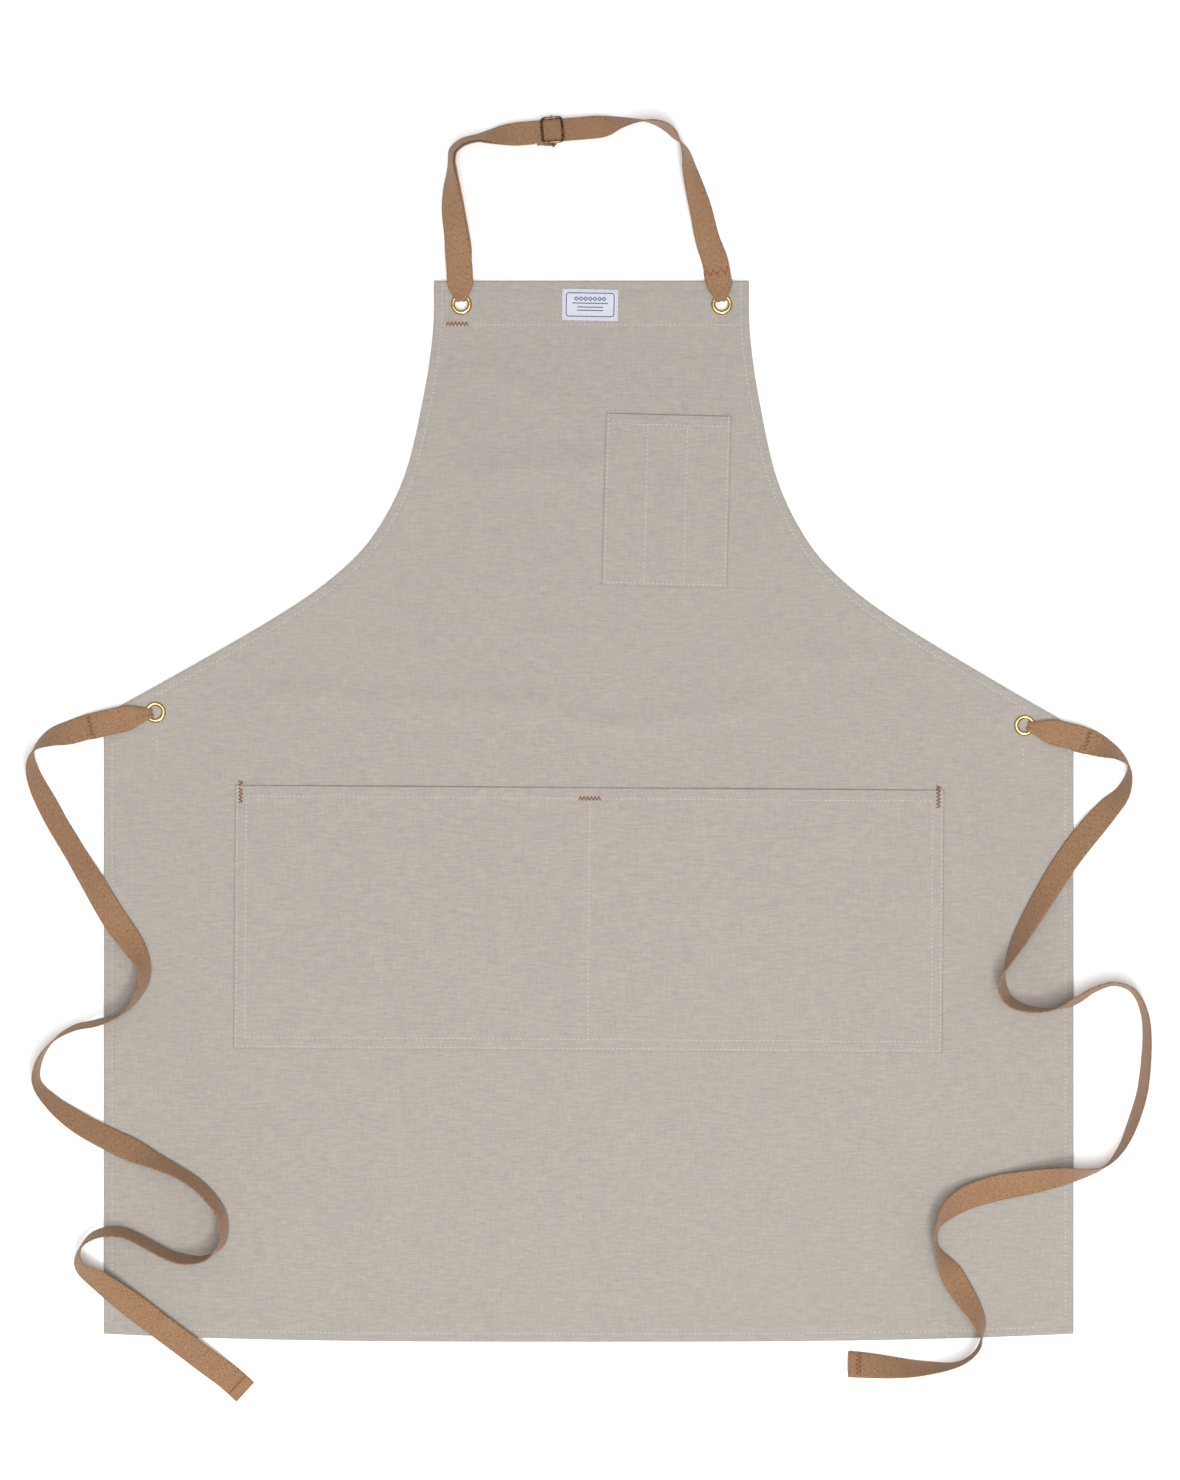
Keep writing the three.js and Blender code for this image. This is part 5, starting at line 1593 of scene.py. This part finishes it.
class APRON_OT_seams(bpy.types.Operator):
    """Sews the hems, the pockets and the label with rows of single stitches"""

    bl_idname = "apron.seams"
    bl_label = "Seams"

    def execute(self, context):
        rows = {node: on_cloth(line) for node, line in hem_seams().items()}
        for node, (pocket, line) in pocket_seams().items():
            rows[node] = on_pocket(pocket, line)
        width, length = turned_size("label", LABEL_TILT)
        x, y = width / 2 - LABEL_ROW, length / 2 - LABEL_ROW
        flat = densified([(-x, -y), (x, -y), (x, y), (-x, y), (-x, -y)], ROW_STEP)
        place_x, place_y = local_frame("label", LABEL_TILT)(flat[:, 0], flat[:, 1])
        rows["label_seam"] = np.column_stack([place_x, place_y, label_top(place_x, place_y)])
        for seed, (node, line) in enumerate(rows.items()):
            settle(stitched(f"{node}_stitches", [line], seed), "root", "seam_thread", node)
        return {"FINISHED"}


# Where the tacks and the rows across the straps lie.
BIB_TACK_DROP = 2.5 * MM
SIDE_TACK_RISE = 3.5 * MM
TIP_ROW = 8.2 * MM
SEWN_ROW = 24 * MM


def zigzag(length, swing, slants):
    """A zigzag along x that swings along y, as an array of x, y."""
    x = np.linspace(-length / 2, length / 2, slants + 1)
    y = np.where(np.arange(slants + 1) % 2, swing / 2, -swing / 2)
    return np.column_stack([x, y])


def strap_row(station, row, lift):
    """A row in a strap's own x across and y along, lifted off its face."""
    along = np.cross(station.normal, station.across)
    upward = station.normal * np.sign(station.normal[2])
    off = upward * (station.thickness / 2 + lift)
    return [station.point + station.across * x + along * y + off for x, y in row]


class APRON_OT_tacks(bpy.types.Operator):
    """Sews the rust-coloured bar tacks of the cloth and the rows across the straps"""

    bl_idname = "apron.tacks"
    bl_label = "Bar tacks"

    def execute(self, context):
        lift = sizes().tack_thread * 0.6
        pocket_tack = densified(zigzag(16 * MM, 3.0 * MM, 12), 0.8 * MM)
        for node, upright in (
            ("waist_pocket_tack_left", True), ("waist_pocket_tack_middle", False),
            ("waist_pocket_tack_right", True), ("bib_tack", False),
        ):
            row = pocket_tack[:, ::-1] if upright else pocket_tack
            middle = centre_of(node)
            drop = BIB_TACK_DROP if node == "bib_tack" else -SIDE_TACK_RISE if upright else 0
            x, y = middle.x + row[:, 0], middle.y - drop + row[:, 1]
            height = surface(x, y) + lift
            if node != "bib_tack":
                pocket = centre_of("waist_pocket")
                height = height + POCKET_GAP + pocket_face("waist_pocket", x - pocket.x, y - pocket.y)
            self.sew(node, np.column_stack([x, y, height]), "root")
        for side in ("left", "right"):
            stations, _, (distance, run) = tie_stations(side)
            route = LEFT_TIE_ROUTE if side == "left" else RIGHT_TIE_ROUTE
            fold = run[nearest(run, route[3]) - 1]
            row = zigzag(15 * MM, 3.2 * MM, 10)
            self.sew(f"{side}_tie_fold_stitch", strap_row(fold, row, lift), f"{side}_tie")
            tip = stations[int(len(stations) - 1 - round(TIP_ROW / (distance[1] - distance[0])))]
            row = zigzag(16 * MM, 0.5 * MM if side == "left" else 3.4 * MM, 10)
            self.sew(f"{side}_tie_tip_stitch", strap_row(tip, row, lift), f"{side}_tie")
        distance, run = neck_stations()
        sewn = run[int(np.abs(distance[-1] - distance - SEWN_ROW).argmin())]
        row = strap_row(sewn, zigzag(16.5 * MM, 4.5 * MM, 6), lift)
        thread = sizes().tack_thread
        loop_row = threaded("neck_strap_fold_stitch_thread", [row], thread, MATERIALS["tack_thread"])
        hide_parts("neck_strap_fold_stitch")
        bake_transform(loop_row)
        point, across, along, off = slider_frame()
        sewn_at = centre_of("slider_fold_stitch")
        drop = (Vector(point) - sewn_at).dot(Vector(off))
        back = (sewn_at - Vector(point)).dot(Vector(along))
        row = [
            point + across * x + along * (back + y) - off * drop for x, y in zigzag(15 * MM, 2.4 * MM, 10)
        ]
        self.sew("slider_fold_stitch", row, "slider")
        return {"FINISHED"}

    def sew(self, node, row, body):
        piece = threaded(f"{node}_thread", [row], sizes().tack_thread, MATERIALS["tack_thread"])
        settle(piece, body, "tack_thread", node)


# ---------------------------------------------------------------- stage

VIEW_CENTRE = (0.9 * MM, 52.4 * MM)
VIEW_HEIGHT = 2.565
LENS = 85


def area_light(name, place, target, size, energy, colour):
    data = bpy.data.lights.new(name, "AREA")
    data.shape = "DISK"
    data.size = size
    data.energy = energy
    data.color = colour
    light = bpy.data.objects.new(name, data)
    light.location = place
    light.rotation_euler = (Vector(target) - Vector(place)).to_track_quat("-Z", "Y").to_euler()
    bpy.context.scene.collection.objects.link(light)


class APRON_OT_stage(bpy.types.Operator):
    """Sets up the camera straight above, soft studio light and a white paper floor"""

    bl_idname = "apron.stage"
    bl_label = "Stage"

    def execute(self, context):
        scene = context.scene
        camera_data = bpy.data.cameras.new("camera")
        camera_data.lens = LENS
        camera_data.sensor_width = 36
        camera = bpy.data.objects.new("camera", camera_data)
        camera.location = (*VIEW_CENTRE, VIEW_HEIGHT)
        scene.collection.objects.link(camera)
        scene.camera = camera
        half = 6.0
        floor = new_piece(
            "floor", [(-half, -half, 0), (half, -half, 0), (half, half, 0), (-half, half, 0)],
            [(0, 1, 2, 3)], floor_material(),
        )
        floor.location.z = -0.2 * MM
        area_light("key light", (0.5, -1.5, 2.6), (0, 0, 0), 0.7, 34, (1.0, 0.99, 0.975))
        area_light("overhead light", (0, -0.45, 3.2), (0, -0.1, 0), 2.4, 84, (1.0, 1.0, 1.0))
        world = bpy.data.worlds.new("studio")
        scene.world = world
        world.use_nodes = True
        background = world.node_tree.nodes["Background"]
        background.inputs["Color"].default_value = (1, 1, 1, 1)
        background.inputs["Strength"].default_value = 0.48
        scene.view_settings.view_transform = "Standard"
        return {"FINISHED"}


# ---------------------------------------------------------------- panel and start

ORDER = [
    APRON_OT_stage, APRON_OT_neck_strap, APRON_OT_waist_ties, APRON_OT_slider, APRON_OT_cloth_body,
    APRON_OT_facings, APRON_OT_pockets, APRON_OT_label, APRON_OT_eyelets, APRON_OT_seams, APRON_OT_tacks,
]


class APRON_PT_build(bpy.types.Panel):
    """Lists the apron's sizes, colours and building steps"""

    bl_label = "Studio Apron"
    bl_space_type = "VIEW_3D"
    bl_region_type = "UI"
    bl_category = "Apron"

    def draw(self, context):
        for group in (context.scene.apron_sizes, context.scene.apron_colours):
            for name in group.__annotations__:
                self.layout.prop(group, name)
        for operator in ORDER:
            self.layout.operator(operator.bl_idname)


CLASSES = [ApronSizes, ApronColours, *ORDER, APRON_PT_build]


def register():
    for kind in CLASSES:
        bpy.utils.register_class(kind)
    bpy.types.Scene.apron_sizes = bpy.props.PointerProperty(type=ApronSizes)
    bpy.types.Scene.apron_colours = bpy.props.PointerProperty(type=ApronColours)


def unregister():
    del bpy.types.Scene.apron_sizes
    del bpy.types.Scene.apron_colours
    for kind in reversed(CLASSES):
        bpy.utils.unregister_class(kind)


def main():
    register()
    make_materials()
    for operator in ORDER:
        group, name = operator.bl_idname.split(".")
        getattr(getattr(bpy.ops, group), name)()


if __name__ == "__main__":
    main()
